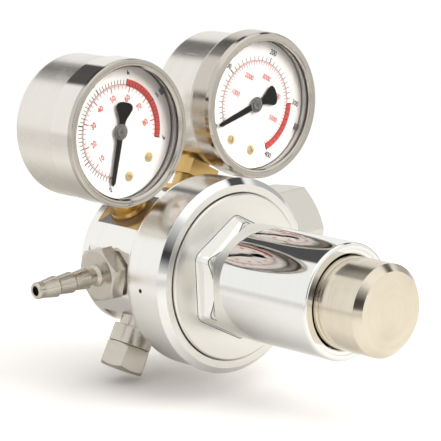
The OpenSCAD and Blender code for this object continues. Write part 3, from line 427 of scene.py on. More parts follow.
class Skin:
    """Patches that are joined into one closed mesh with exact normals."""

    def __init__(self, place: Place) -> None:
        """Starts an empty skin.

        Args:
            place: Axes in which the patches are given.
        """
        self.place = place
        self.patches: list[Patch] = []

    def add(self, *patches: Patch) -> "Skin":
        """Adds patches and returns the skin."""
        self.patches.extend(patches)
        return self

    def build(self, name: str, finishes: list["Finish | WindowGlass"]) -> bpy.types.Object:
        """Welds the patches where they meet and makes the object.

        Each cell of a grid is split into two triangles, and those with two corners in one place
        are dropped.

        Args:
            name: Name of the object.
            finishes: Finishes that the patches' numbers point to.

        Returns:
            The object, at the origin of the shared frame.
        """
        corners: list[Array] = []
        marks: list[Array] = []
        count = 0
        for patch in self.patches:
            rows, cols = patch.points.shape[:2]
            a = (np.arange(rows - 1)[:, None] * cols + np.arange(cols - 1)[None, :]).ravel() + count
            quad = np.stack([a, a + 1, a + cols + 1, a, a + cols + 1, a + cols], axis=1)
            corners.append(quad.reshape(-1, 3))
            marks.append(np.full(2 * len(a), patch.finish, np.int32))
            count += rows * cols
        tri = np.concatenate(corners)
        mark = np.concatenate(marks)
        points = np.concatenate([p.points.reshape(-1, 3) for p in self.patches])
        normals = np.concatenate([p.normals.reshape(-1, 3) for p in self.patches])
        chart = np.concatenate([p.chart.reshape(-1, 2) for p in self.patches])
        spots, index = np.unique(np.round(points, 3), axis=0, return_inverse=True)
        index = index.reshape(-1)
        welded = index[tri]
        whole = ((welded[:, 0] != welded[:, 1]) & (welded[:, 1] != welded[:, 2])
                 & (welded[:, 0] != welded[:, 2]))
        tri, welded, mark = tri[whole], welded[whole], mark[whole]
        mesh = bpy.data.meshes.new(name)
        mesh.vertices.add(len(spots))
        mesh.vertices.foreach_set("co", self.place.points(spots).astype(np.float32).ravel())
        mesh.loops.add(welded.size)
        mesh.loops.foreach_set("vertex_index", welded.astype(np.int32).ravel())
        mesh.polygons.add(len(welded))
        mesh.polygons.foreach_set("loop_start", np.arange(0, welded.size, 3, dtype=np.int32))
        mesh.polygons.foreach_set("material_index", mark)
        mesh.polygons.foreach_set("use_smooth", np.ones(len(welded), bool))
        mesh.update(calc_edges=True)
        layer = mesh.uv_layers.new(name="turning")
        layer.uv.foreach_set("vector", chart[tri.ravel()].astype(np.float32).ravel())
        faces = self.place.vectors(normals[tri.ravel()])
        mesh.normals_split_custom_set(faces.tolist())
        for finish in finishes:
            mesh.materials.append(finish.material())
        piece = bpy.data.objects.new(name, mesh)
        bpy.context.scene.collection.objects.link(piece)
        LOG.info("%s: %d triangles", name, len(welded))
        return piece


def settle(piece: bpy.types.Object, body: str, slot: str, *nodes: str) -> None:
    """Lets a piece ride a body and lets it stand for CAD nodes.

    Args:
        piece: The finished object.
        body: Body that it moves with.
        slot: Material slot of the record that it belongs to; not used.
        nodes: CAD nodes that it replaces.
    """
    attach(piece, body)
    if nodes:
        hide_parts(*nodes)


# Shader groups


class Graph:
    """Short calls for adding and joining nodes in one tree."""

    def __init__(self, tree: bpy.types.NodeTree) -> None:
        """Keeps the tree that the calls work on."""
        self.tree = tree

    def node(self, kind: str, inputs: dict[str | int, object] | None = None,
             **settings: object) -> bpy.types.Node:
        """Adds a node, sets its properties, and joins or sets its inputs.

        Args:
            kind: Blender's name of the node type.
            inputs: Input name or number to a value or an output socket.
            settings: Properties of the node.

        Returns:
            The new node.
        """
        made = self.tree.nodes.new(kind)
        for key, value in settings.items():
            setattr(made, key, value)
        for key, value in (inputs or {}).items():
            if isinstance(value, Socket):
                self.tree.links.new(value, made.inputs[key])
            else:
                made.inputs[key].default_value = value
        return made

    def math(self, operation: str, *values: object) -> Socket:
        """Adds a Math node and returns its result."""
        inputs = dict(enumerate(values))
        return self.node("ShaderNodeMath", inputs, operation=operation).outputs[0]

    def spread(self, value: object, low: float, high: float, to_low: float, to_high: float,
               kind: str = "LINEAR") -> Socket:
        """Adds a Map Range node from low..high to to_low..to_high and returns its result."""
        limits = {0: value, 1: low, 2: high, 3: to_low, 4: to_high}
        return self.node("ShaderNodeMapRange", limits, interpolation_type=kind).outputs[0]

    def window(self, value: object, rise: Pair, fall: Pair) -> Socket:
        """Makes a mask with a smooth step at each of two flanks.

        Args:
            value: The socket that is looked at.
            rise: Where the step up starts and ends.
            fall: Where the step down starts and ends.

        Returns:
            1 between the flanks and 0 outside them.
        """
        up = self.spread(value, *rise, 0.0, 1.0, "SMOOTHSTEP")
        down = self.spread(value, *fall, 1.0, 0.0, "SMOOTHSTEP")
        return self.math("MULTIPLY", up, down)

    def mix(self, factor: object, a: object, b: object) -> Socket:
        """Adds a colour Mix node.

        Args:
            factor: Share of the second colour.
            a: The first colour.
            b: The second colour.

        Returns:
            The mixed colour.
        """
        return self.node("ShaderNodeMix", {0: factor, 6: a, 7: b}, data_type="RGBA").outputs[2]


def blank_material(name: str) -> tuple[bpy.types.Material, Graph]:
    """Makes a material without nodes.

    Args:
        name: Name of the material.

    Returns:
        The material and the Graph of its tree.
    """
    made = bpy.data.materials.new(name)
    made.use_nodes = True
    made.node_tree.nodes.clear()
    return made, Graph(made.node_tree)


def shader_group(name: str, inputs: dict[str, float | None], outputs: list[str],
                 fill: Callable[[Graph, bpy.types.Node], dict[str, object]]) -> bpy.types.NodeTree:
    """Makes a node group once and returns it.

    Args:
        name: Name of the group.
        inputs: Input name to its default value, or to None for a vector.
        outputs: Names of the outputs, all plain numbers.
        fill: Builds the inside from a Graph and the group's input node, and returns the socket
            for each output.

    Returns:
        The node group.
    """
    if name in bpy.data.node_groups:
        return bpy.data.node_groups[name]
    tree = bpy.data.node_groups.new(name, "ShaderNodeTree")
    for key, default in inputs.items():
        kind = "NodeSocketVector" if default is None else "NodeSocketFloat"
        socket = tree.interface.new_socket(name=key, in_out="INPUT", socket_type=kind)
        if default is not None:
            socket.default_value = default
    for key in outputs:
        tree.interface.new_socket(name=key, in_out="OUTPUT", socket_type="NodeSocketFloat")
    graph = Graph(tree)
    results = fill(graph, graph.node("NodeGroupInput"))
    graph.node("NodeGroupOutput", results)
    return tree


def turning_marks() -> bpy.types.NodeTree:
    """Returns the group of fine grooves that a lathe leaves, from a map of turns and distance.

    The height is noise stretched round the turn: it changes fast along the profile and hardly
    at all round it.
    """

    def fill(g: Graph, start: bpy.types.Node) -> dict[str, object]:
        """Builds the inside of the group.

        Args:
            g: Graph of the group.
            start: The group's input node.

        Returns:
            The socket of each output.
        """
        parts = g.node("ShaderNodeSeparateXYZ", {0: start.outputs["Map"]})
        rows = g.math("MULTIPLY", parts.outputs[1], start.outputs["Lines"])
        turns = g.math("MULTIPLY", parts.outputs[0], 3.0)
        at = g.node("ShaderNodeCombineXYZ", {0: turns, 1: rows})
        fine = g.node("ShaderNodeTexNoise", {"Vector": at.outputs[0], "Scale": 1.0, "Detail": 3.0,
                                             "Roughness": 0.65}).outputs[0]
        slow_rows = g.math("MULTIPLY", rows, 0.11)
        slow_at = g.node("ShaderNodeCombineXYZ", {0: turns, 1: slow_rows})
        slow = g.node("ShaderNodeTexNoise", {"Vector": slow_at.outputs[0], "Scale": 1.0,
                                             "Detail": 1.0}).outputs[0]
        both = g.math("ADD", g.math("MULTIPLY", fine, 0.7), g.math("MULTIPLY", slow, 0.3))
        return {"Height": both, "Tone": g.spread(both, 0.3, 0.7, 0.0, 1.0)}

    return shader_group("turning marks", {"Map": None, "Lines": 8.0}, ["Height", "Tone"], fill)


def handling_marks() -> bpy.types.NodeTree:
    """Returns the group of smudges, fine scratches and waviness that hands and plating leave.

    Smudge is a soft cloud with sharp-edged islands, Scratch is thin lines cut from stretched
    noise, and Wave is a slow swell of the surface.
    """

    def fill(g: Graph, start: bpy.types.Node) -> dict[str, object]:
        """Builds the inside of the group.

        Args:
            g: Graph of the group.
            start: The group's input node.

        Returns:
            The socket of each output.
        """
        spot = start.outputs["Spot"]
        cloud = g.node("ShaderNodeTexNoise", {"Vector": spot, "Scale": 45.0, "Detail": 5.0,
                                              "Roughness": 0.6, "Distortion": 0.4}).outputs[0]
        island = g.node("ShaderNodeTexVoronoi", {"Vector": spot, "Scale": 70.0}).outputs[0]
        smudge = g.math("MULTIPLY", g.spread(cloud, 0.42, 0.7, 0.0, 1.0),
                        g.spread(island, 0.1, 0.6, 1.0, 0.35))
        stretched = g.node("ShaderNodeMapping", {"Vector": spot, "Rotation": (0.3, 0.5, 0.9),
                                                 "Scale": (1500.0, 60.0, 900.0)}).outputs[0]
        line = g.node("ShaderNodeTexNoise", {"Vector": stretched, "Scale": 1.0,
                                             "Detail": 2.0}).outputs[0]
        scratch = g.spread(line, 0.66, 0.74, 0.0, 1.0)
        wave = g.node("ShaderNodeTexNoise", {"Vector": spot, "Scale": 28.0,
                                             "Detail": 1.0}).outputs[0]
        amount = start.outputs["Amount"]
        return {"Smudge": g.math("MULTIPLY", smudge, amount),
                "Scratch": g.math("MULTIPLY", scratch, amount), "Wave": wave}

    return shader_group("handling marks", {"Spot": None, "Amount": 1.0},
                        ["Smudge", "Scratch", "Wave"], fill)


def fine_grain() -> bpy.types.NodeTree:
    """Returns the group of even grain for satin plate, rubber, paint and sintered metal."""

    def fill(g: Graph, start: bpy.types.Node) -> dict[str, object]:
        """Builds the inside of the group.

        Args:
            g: Graph of the group.
            start: The group's input node.

        Returns:
            The socket of each output.
        """
        spot = start.outputs["Spot"]
        grain = g.node("ShaderNodeTexNoise", {"Vector": spot, "Scale": start.outputs["Grains"],
                                              "Detail": 3.0, "Roughness": 0.7}).outputs[0]
        patches = g.node("ShaderNodeTexNoise", {"Vector": spot, "Scale": 60.0,
                                                "Detail": 4.0}).outputs[0]
        pit = g.node("ShaderNodeTexVoronoi", {"Vector": spot,
                                              "Scale": start.outputs["Grains"]}).outputs[0]
        return {"Height": grain, "Cloud": g.spread(patches, 0.3, 0.7, 0.0, 1.0),
                "Pit": g.spread(pit, 0.0, 0.35, 1.0, 0.0)}

    return shader_group("fine grain", {"Spot": None, "Grains": 2500.0},
                        ["Height", "Cloud", "Pit"], fill)


# Finishes


class Detail(Enum):
    """How a finish's fine relief is laid on."""

    TURNED = "turned"
    GRAIN = "grain"


@dataclass(frozen=True)
class Finish:
    """A metal, rubber, plastic or paint with relief, smudges and changes of tone."""

    name: str
    colour: Colour
    second: Colour
    metallic: float = 1.0
    roughness: float = 0.1
    rough_more: float = 0.1
    detail: Detail = Detail.GRAIN
    lines: float = 8.0
    grains: float = 2500.0
    relief: float = 0.02
    relief_mm: float = 0.02
    marks: float = 0.5

    def material(self) -> bpy.types.Material:
        """Makes the material once.

        Base colour runs between the two colours by the relief's tone and the smudges, and
        roughness rises with smudges and scratches.

        Returns:
            The material.
        """
        if self.name in bpy.data.materials:
            return bpy.data.materials[self.name]
        made, g = blank_material(self.name)
        spot = g.node("ShaderNodeTexCoord").outputs["Object"]
        hands = g.node("ShaderNodeGroup", {"Spot": spot, "Amount": self.marks},
                       node_tree=handling_marks())
        if self.detail is Detail.TURNED:
            chart = g.node("ShaderNodeUVMap", uv_map="turning").outputs[0]
            fine = g.node("ShaderNodeGroup", {"Map": chart, "Lines": self.lines},
                          node_tree=turning_marks())
            tone = fine.outputs["Tone"]
        else:
            fine = g.node("ShaderNodeGroup", {"Spot": spot, "Grains": self.grains},
                          node_tree=fine_grain())
            tone = fine.outputs["Cloud"]
        share = g.math("MINIMUM", g.math("ADD", g.math("MULTIPLY", tone, 0.55),
                                         g.math("MULTIPLY", hands.outputs["Smudge"], 0.45)), 1.0)
        colour = g.mix(share, self.colour, self.second)
        worn = g.math("MAXIMUM", hands.outputs["Smudge"], hands.outputs["Scratch"])
        rough = g.math("ADD", g.spread(tone, 0.0, 1.0, self.roughness,
                                       self.roughness + 0.3 * self.rough_more),
                       g.math("MULTIPLY", worn, self.rough_more))
        swell = g.math("ADD", fine.outputs["Height"],
                       g.math("MULTIPLY", hands.outputs["Scratch"], -0.4))
        bump = g.node("ShaderNodeBump", {"Strength": self.relief, "Distance": self.relief_mm * MM,
                                         "Height": swell})
        shader = g.node("ShaderNodeBsdfPrincipled", {
            "Base Color": colour, "Metallic": self.metallic, "Roughness": rough,
            "Normal": bump.outputs[0]})
        g.node("ShaderNodeOutputMaterial", {"Surface": shader.outputs[0]})
        made.diffuse_color = self.colour
        return made


CHROME = Finish("polished chrome", (0.90, 0.90, 0.885, 1), (0.83, 0.83, 0.81, 1), roughness=0.035,
                rough_more=0.05, detail=Detail.TURNED, lines=5.0, relief=0.015, marks=0.35)
SATIN_CHROME = Finish("fine turned chrome", (0.88, 0.865, 0.815, 1), (0.80, 0.78, 0.73, 1),
                      roughness=0.28, rough_more=0.12, detail=Detail.TURNED, lines=14.0,
                      relief=0.12, marks=0.4)
NICKEL = Finish("satin nickel", (0.66, 0.615, 0.55, 1), (0.53, 0.485, 0.425, 1), roughness=0.22,
                rough_more=0.14, detail=Detail.TURNED, lines=9.0, relief=0.16, marks=0.6)
PALE_NICKEL = Finish("pale satin nickel", (0.78, 0.755, 0.69, 1), (0.70, 0.665, 0.60, 1),
                     roughness=0.32, rough_more=0.14, detail=Detail.TURNED, lines=9.0,
                     relief=0.12, marks=0.4)
GAUGE_STEEL = Finish("polished gauge steel", (0.80, 0.785, 0.75, 1), (0.72, 0.70, 0.66, 1),
                     roughness=0.08, detail=Detail.TURNED, lines=6.0,
                     relief=0.05, marks=0.6)
CASE_STEEL = Finish("satin case steel", (0.88, 0.845, 0.795, 1), (0.78, 0.74, 0.68, 1),
                    roughness=0.2, rough_more=0.16, detail=Detail.TURNED, lines=7.0,
                    relief=0.14, marks=0.7)
LINER = Finish("pale matt inside of a case", (0.74, 0.72, 0.68, 1), (0.64, 0.62, 0.58, 1),
               metallic=0.25, roughness=0.45, rough_more=0.15, relief=0.2, grains=1800.0)
# Painted shade: a near-black finish laid in the bonnet's foot seam and front crease, where shade
# falls.
PAINTED_SEAM_SHADE = Finish("polish left in a seam", (0.09, 0.088, 0.085, 1), (0.20, 0.19, 0.18, 1),
                    roughness=0.4, rough_more=0.2, relief=0.2, grains=3000.0, marks=0.8)
WARM_NICKEL = Finish("warm brushed nickel", (0.82, 0.75, 0.63, 1), (0.64, 0.56, 0.44, 1),
                     roughness=0.11, rough_more=0.14, detail=Detail.TURNED, lines=9.0,
                     relief=0.13, marks=1.0)
BODY_CHROME = Finish("worn body chrome", (0.96, 0.945, 0.915, 1), (0.89, 0.87, 0.835, 1),
                     roughness=0.17, rough_more=0.12, detail=Detail.TURNED, lines=6.0,
                     relief=0.06, marks=0.6)
BEZEL_STEEL = Finish("satin bezel steel", (0.66, 0.61, 0.555, 1), (0.56, 0.51, 0.45, 1),
                     roughness=0.16, rough_more=0.12, detail=Detail.TURNED, lines=7.0,
                     relief=0.1, marks=0.6)
BRIGHT_STEEL = Finish("bright bezel steel", (0.88, 0.85, 0.80, 1), (0.80, 0.765, 0.71, 1),
                      roughness=0.05, rough_more=0.08, detail=Detail.TURNED, lines=6.0,
                      relief=0.03)
LIP_STEEL = Finish("rolled lip steel", (0.60, 0.565, 0.51, 1), (0.50, 0.465, 0.41, 1),
                   roughness=0.09, rough_more=0.08, detail=Detail.TURNED, lines=6.0,
                   relief=0.05)
SCREW_BRASS = Finish("bright screw brass", (0.90, 0.74, 0.42, 1), (0.80, 0.62, 0.30, 1),
                     metallic=0.55, roughness=0.38, rough_more=0.15, relief=0.15, grains=1800.0,
                     marks=0.6)
BRASS = Finish("bare brass", (0.72, 0.50, 0.20, 1), (0.55, 0.36, 0.13, 1), roughness=0.24,
               rough_more=0.2, relief=0.2, grains=1800.0, marks=0.7)
STEEL = Finish("plain steel", (0.56, 0.55, 0.53, 1), (0.40, 0.39, 0.37, 1), roughness=0.28,
               rough_more=0.2, relief=0.15, grains=1800.0, marks=0.6)
BRONZE = Finish("sintered bronze", (0.45, 0.30, 0.15, 1), (0.25, 0.16, 0.08, 1), roughness=0.6,
                rough_more=0.2, relief=0.9, relief_mm=0.1, grains=2200.0, marks=0.3)
RUBBER = Finish("moulded rubber", (0.020, 0.020, 0.021, 1), (0.035, 0.034, 0.033, 1),
                metallic=0.0, roughness=0.62, rough_more=0.2, relief=0.35, grains=3500.0, marks=0.8)
SEAL = Finish("sealing plastic", (0.76, 0.75, 0.70, 1), (0.68, 0.66, 0.60, 1), metallic=0.0,
              roughness=0.5, rough_more=0.2, relief=0.2, grains=1500.0)
SILICONE = Finish("grey silicone gasket", (0.40, 0.39, 0.37, 1), (0.30, 0.29, 0.275, 1),
                  metallic=0.0, roughness=0.5, rough_more=0.15, relief=0.2, grains=1800.0,
                  marks=0.4)
DIAL_WHITE = Finish("white dial", (0.87, 0.86, 0.835, 1), (0.83, 0.82, 0.79, 1), metallic=0.0,
                    roughness=0.45, relief=0.06, grains=2600.0, marks=0.2)
INK_BLACK = Finish("black dial ink", (0.012, 0.012, 0.014, 1), (0.03, 0.03, 0.032, 1), metallic=0.0,
                   roughness=0.5, rough_more=0.2, relief=0.1, grains=4000.0, marks=0.3)
INK_RED = Finish("red dial ink", (0.62, 0.055, 0.04, 1), (0.52, 0.05, 0.04, 1), metallic=0.0,
                 roughness=0.5, rough_more=0.2, relief=0.1, grains=4000.0, marks=0.3)
POINTER_BLACK = Finish("black pointer paint", (0.115, 0.115, 0.112, 1), (0.145, 0.143, 0.137, 1),
                       metallic=0.0, roughness=0.38, rough_more=0.15, relief=0.15, grains=3000.0)
# Painted shade: near black that stands for the shade inside a small hole.
HOLE_SHADE_PAINT = Finish("dark hole", (0.006, 0.006, 0.006, 1), (0.012, 0.011, 0.01, 1), metallic=0.0,
                   roughness=0.8, relief=0.2, grains=2000.0, marks=0.2)


@dataclass(frozen=True)
class WindowGlass:
    """Clear flat glass with faint dust."""

    name: str = "clear window"
    tint: Colour = (0.985, 0.99, 0.985, 1)
    dusty: Colour = (0.955, 0.96, 0.955, 1)
    mirrored: Colour = (0.62, 0.60, 0.59, 1)
    roughness: float = 0.01
    dusty_roughness: float = 0.06
    dust: float = 0.4

    def material(self) -> bpy.types.Material:
        """Makes the material once: glass that lets the lamps through to the dial.

        Mirrors near it see the dial through a grey tint.

        Returns:
            The material.
        """
        if self.name in bpy.data.materials:
            return bpy.data.materials[self.name]
        made, g = blank_material(self.name)
        spot = g.node("ShaderNodeTexCoord").outputs["Object"]
        hands = g.node("ShaderNodeGroup", {"Spot": spot, "Amount": self.dust},
                       node_tree=handling_marks())
        rough = g.spread(hands.outputs["Smudge"], 0.0, 1.0, self.roughness, self.dusty_roughness)
        tint = g.mix(hands.outputs["Smudge"], self.tint, self.dusty)
        glass = g.node("ShaderNodeBsdfPrincipled", {
            "Base Color": tint, "Roughness": rough, "Metallic": 0.0,
            "Transmission Weight": 1.0, "IOR": 1.46})
        clear = g.node("ShaderNodeBsdfTransparent")
        dim = g.node("ShaderNodeBsdfTransparent", {"Color": self.mirrored})
        rays = g.node("ShaderNodeLightPath")
        mirrored = g.node("ShaderNodeMixShader", {0: rays.outputs["Is Glossy Ray"],
                                                  1: glass.outputs[0], 2: dim.outputs[0]})
        way = g.node("ShaderNodeMixShader", {0: rays.outputs["Is Shadow Ray"],
                                             1: mirrored.outputs[0], 2: clear.outputs[0]})
        g.node("ShaderNodeOutputMaterial", {"Surface": way.outputs[0]})
        return made


# Turned and milled parts


@dataclass(frozen=True)
class Prism:
    """A polygonal bar whose ends are turned to a cone, as on a nut."""

    sides: int
    across: float
    start: float
    end: float
    turn: float
    corner: float = 0.35
    near_cone: bool = False
    cone_inset: float = 0.4
    slope: float = math.radians(30.0)
    blend: float = 0.05

    def edges(self) -> Array:
        """Returns the angles of the corners."""
        return (np.radians(self.turn) + np.arange(self.sides) * TURN / self.sides) % TURN

    def radius(self, theta: Array, z: Array) -> Array:
        """Finds the least of the polygon's edge and the cones over its ends.

        A cone's radius at its end is half the width across flats less cone_inset. It grows with
        the distance from that end, over the tangent of slope.

        Args:
            theta: Angles of the columns.
            z: Stations of the rows.

        Returns:
            The radius at each row and angle.
        """
        flat = rounded_polygon(theta, self.sides, self.across, self.turn, self.corner)[None, :]
        face = self.across / 2.0 - self.cone_inset
        far = face + (self.end - z) / math.tan(self.slope)
        out = soft_least(np.broadcast_to(flat, (len(z), len(theta))),
                         np.broadcast_to(far[:, None], (len(z), len(theta))), self.blend)
        if self.near_cone:
            near = face + (z - self.start) / math.tan(self.slope)
            out = soft_least(out, np.broadcast_to(near[:, None], out.shape), self.blend)
        return out

    def rows(self) -> Array:
        """Spaces the rows of the side.

        Returns:
            Stations, close together on the cones and far apart between them.
        """
        peak = self.across / 2.0 / math.cos(math.pi / self.sides)
        drop = (peak - self.across / 2.0 + self.cone_inset) * math.tan(self.slope) * 1.15
        far = self.end - drop * np.linspace(1.0, 0.0, 16) ** 1.3
        near = self.start + drop * np.linspace(0.0, 1.0, 16) ** 1.3
        lead = near if self.near_cone else np.array([self.start])
        return np.concatenate([lead, far])

    def bar(self, theta: Array, start_r: float, end_r: float) -> list[Patch]:
        """Builds the flats, the cones and the two end faces.

        Args:
            theta: Angles of the columns.
            start_r: Radius at which the near face ends inside.
            end_r: Radius at which the far face ends inside.

        Returns:
            Patches of the near face, the side and the far face.
        """
        near, far = self.radius(theta, np.array([self.start, self.end]))
        z = self.rows()
        return [ring_between(start_r, near, self.start, theta, -1.0),
                sculpted(self.radius(theta, z), z, theta),
                ring_between(far, end_r, self.end, theta, 1.0)]


def port_flats(theta: Array, angles: tuple[float, ...], distance: float) -> Array:
    """Distance to the nearest milled flat: its distance over the cosine of the angle from it.

    Args:
        theta: Angles, in radians.
        angles: Middle of each flat, in degrees.
        distance: Distance of the flats from the axis.

    Returns:
        The distance at each angle, large where no flat lies.
    """
    off = (theta[None, :] - np.radians(angles)[:, None] + math.pi) % TURN - math.pi
    reach = np.where(np.abs(off) < 0.5, distance / np.cos(np.minimum(np.abs(off), 0.5)), 1e3)
    return reach.min(axis=0)


@dataclass
class Body:
    """The chromed body: rear barrel with port flats, hollow, shoulder and front flange."""

    rear_r: float = 26.0
    rear: float = -16.0
    flange_r: float = 35.5
    front: float = 40.0
    shoulder: float = 25.0
    shoulder_r: float = 4.5
    hollow_r: float = 7.5
    flat: float = 24.5
    flat_back: float = -11.4
    flat_front: float = 12.0
    ports: tuple[float, ...] = (INLET_ANGLE, HIGH_ANGLE, LOW_ANGLE, OUTLET_ANGLE, RELIEF_ANGLE)
    ring_r: float = 33.4
    disc_seat: float = 27.5
    seat_r: float = 26.0
    chamber: float = 22.5
    chamber_r: float = 8.0
    step: float = 12.0
    step_r: float = 6.0
    floor: float = -9.0
    guide_r: float = 2.2
    guide: float = -13.0
    weep_r: float = 0.8
    weep: float = 30.5
    weep_depth: float = 1.6
    proud: float = 0.015

    def build(self) -> None:
        """Builds the body and its weep hole."""
        self.build_skin()
        self.build_weep_hole()

    def build_skin(self) -> None:
        """Builds the outside with its port flats, and the steps of the inside.

        The neck is a hollow arc that runs into the shoulder's arc. Their centres are the sum of
        both radii apart, of which the step from barrel to flange less that sum lies across the
        axis, and a right triangle gives the rest along it.
        """
        half = math.acos(self.flat / self.rear_r)
        edges = np.radians(np.array(self.ports))
        theta = columns(np.concatenate([edges - half, edges + half]) % TURN, 144)
        limit = port_flats(theta, self.ports, self.flat)
        full = np.full(len(theta), self.rear_r)
        milled = soft_least(full, limit, 0.03)
        rear = filleted([(0, self.rear), (self.rear_r - 1.0, self.rear),
                         (self.rear_r, self.rear + 1.0), (self.rear_r, self.flat_back)], 0.25)
        rows = np.linspace(self.flat_back, self.flat_front, 5)
        total = self.shoulder_r + self.hollow_r
        rise = self.flange_r - self.rear_r
        hollow_z = self.shoulder - math.sqrt(total**2 - (rise - total) ** 2)
        swing = math.degrees(math.acos((total - rise) / total))
        cove = arc(self.rear_r + self.hollow_r, hollow_z, self.hollow_r, 180.0, 180.0 - swing, 18)
        knee = arc(self.flange_r - self.shoulder_r, self.shoulder, self.shoulder_r, -swing, 0.0, 14)
        neck = curved(np.concatenate([cove, knee[1:]]))
        neck.normals[0] = (1.0, 0.0)
        neck.normals[-1] = (1.0, 0.0)
        lead = Outline(np.array([[self.rear_r, self.flat_front], [self.rear_r, hollow_z]]),
                       np.array([[1.0, 0.0], [1.0, 0.0]]))
        cup = filleted([(self.flange_r, self.shoulder), (self.flange_r, self.front),
                        (self.ring_r, self.front), (self.ring_r, self.disc_seat),
                        (self.seat_r, self.disc_seat), (self.seat_r, self.chamber),
                        (self.chamber_r, self.chamber), (self.chamber_r, self.step),
                        (self.step_r, self.step), (self.step_r, self.floor),
                        (self.guide_r, self.floor), (self.guide_r, self.guide),
                        (0.0, self.guide)], [0.3] + [0.05] * 10)
        skin = Skin(body_place())
        skin.add(lathe(rear, theta), ring_between(full, milled, self.flat_back, theta, 1.0),
                 sculpted(np.repeat(milled[None], len(rows), 0), rows, theta),
                 ring_between(milled, full, self.flat_front, theta, -1.0),
                 lathe(lead, theta), lathe(neck, theta), lathe(cup, theta))
        settle(skin.build("body_chrome", [BODY_CHROME]), "housing", "polished_chrome", "body")

    def build_weep_hole(self) -> None:
        """Builds a near-black plug, painted shade for the weep hole, a hair proud of the flange."""
        bottom = self.flange_r - self.weep_depth
        top = self.flange_r + self.proud
        profile = filleted([(0.0, bottom), (self.weep_r, bottom), (self.weep_r, top), (0.0, top)],
                           0.0)
        place = Place((-REACH, -self.weep, 0.0), (0.0, 1.0, 0.0), (0.0, 0.0, -1.0),
                      (-1.0, 0.0, 0.0))
        hole = Skin(place).add(lathe(profile, columns(coarse=32)))
        settle(hole.build("weep_hole", [HOLE_SHADE_PAINT]), "housing", "polished_chrome")


@dataclass
class ClampRing:
    """The threaded ring that clamps the bonnet's disc into the body."""

    outer: float = 36.2
    opening: float = 31.0
    back: float = 40.0
    front: float = 42.9
    bevel: float = 2.3
    thread_r: float = 33.3
    press: float = 36.0
    skirt_r: float = 32.2
    skirt: float = 30.2
    edge: float = 0.35

    def build(self) -> None:
        """Builds the ring as one closed turned skin."""
        theta = columns(coarse=240)
        side = filleted([(self.thread_r, self.back), (self.outer, self.back),
                         (self.outer, self.front - self.bevel),
                         (self.outer - self.bevel, self.front)], [0.15, 0.25], 4)
        face = filleted([(self.outer - self.bevel, self.front),
                         (self.opening + self.edge, self.front),
                         (self.opening, self.front - self.edge), (self.opening, self.press),
                         (self.skirt_r, self.press), (self.skirt_r, self.skirt),
                         (self.thread_r, self.skirt), (self.thread_r, self.back)], 0.08, 4)
        skin = Skin(body_place()).add(lathe(side, theta), lathe(face, theta, 1))
        settle(skin.build("clamp_ring_turned", [CHROME, SATIN_CHROME]), "housing",
               "satin_nickel", "clamp_ring")


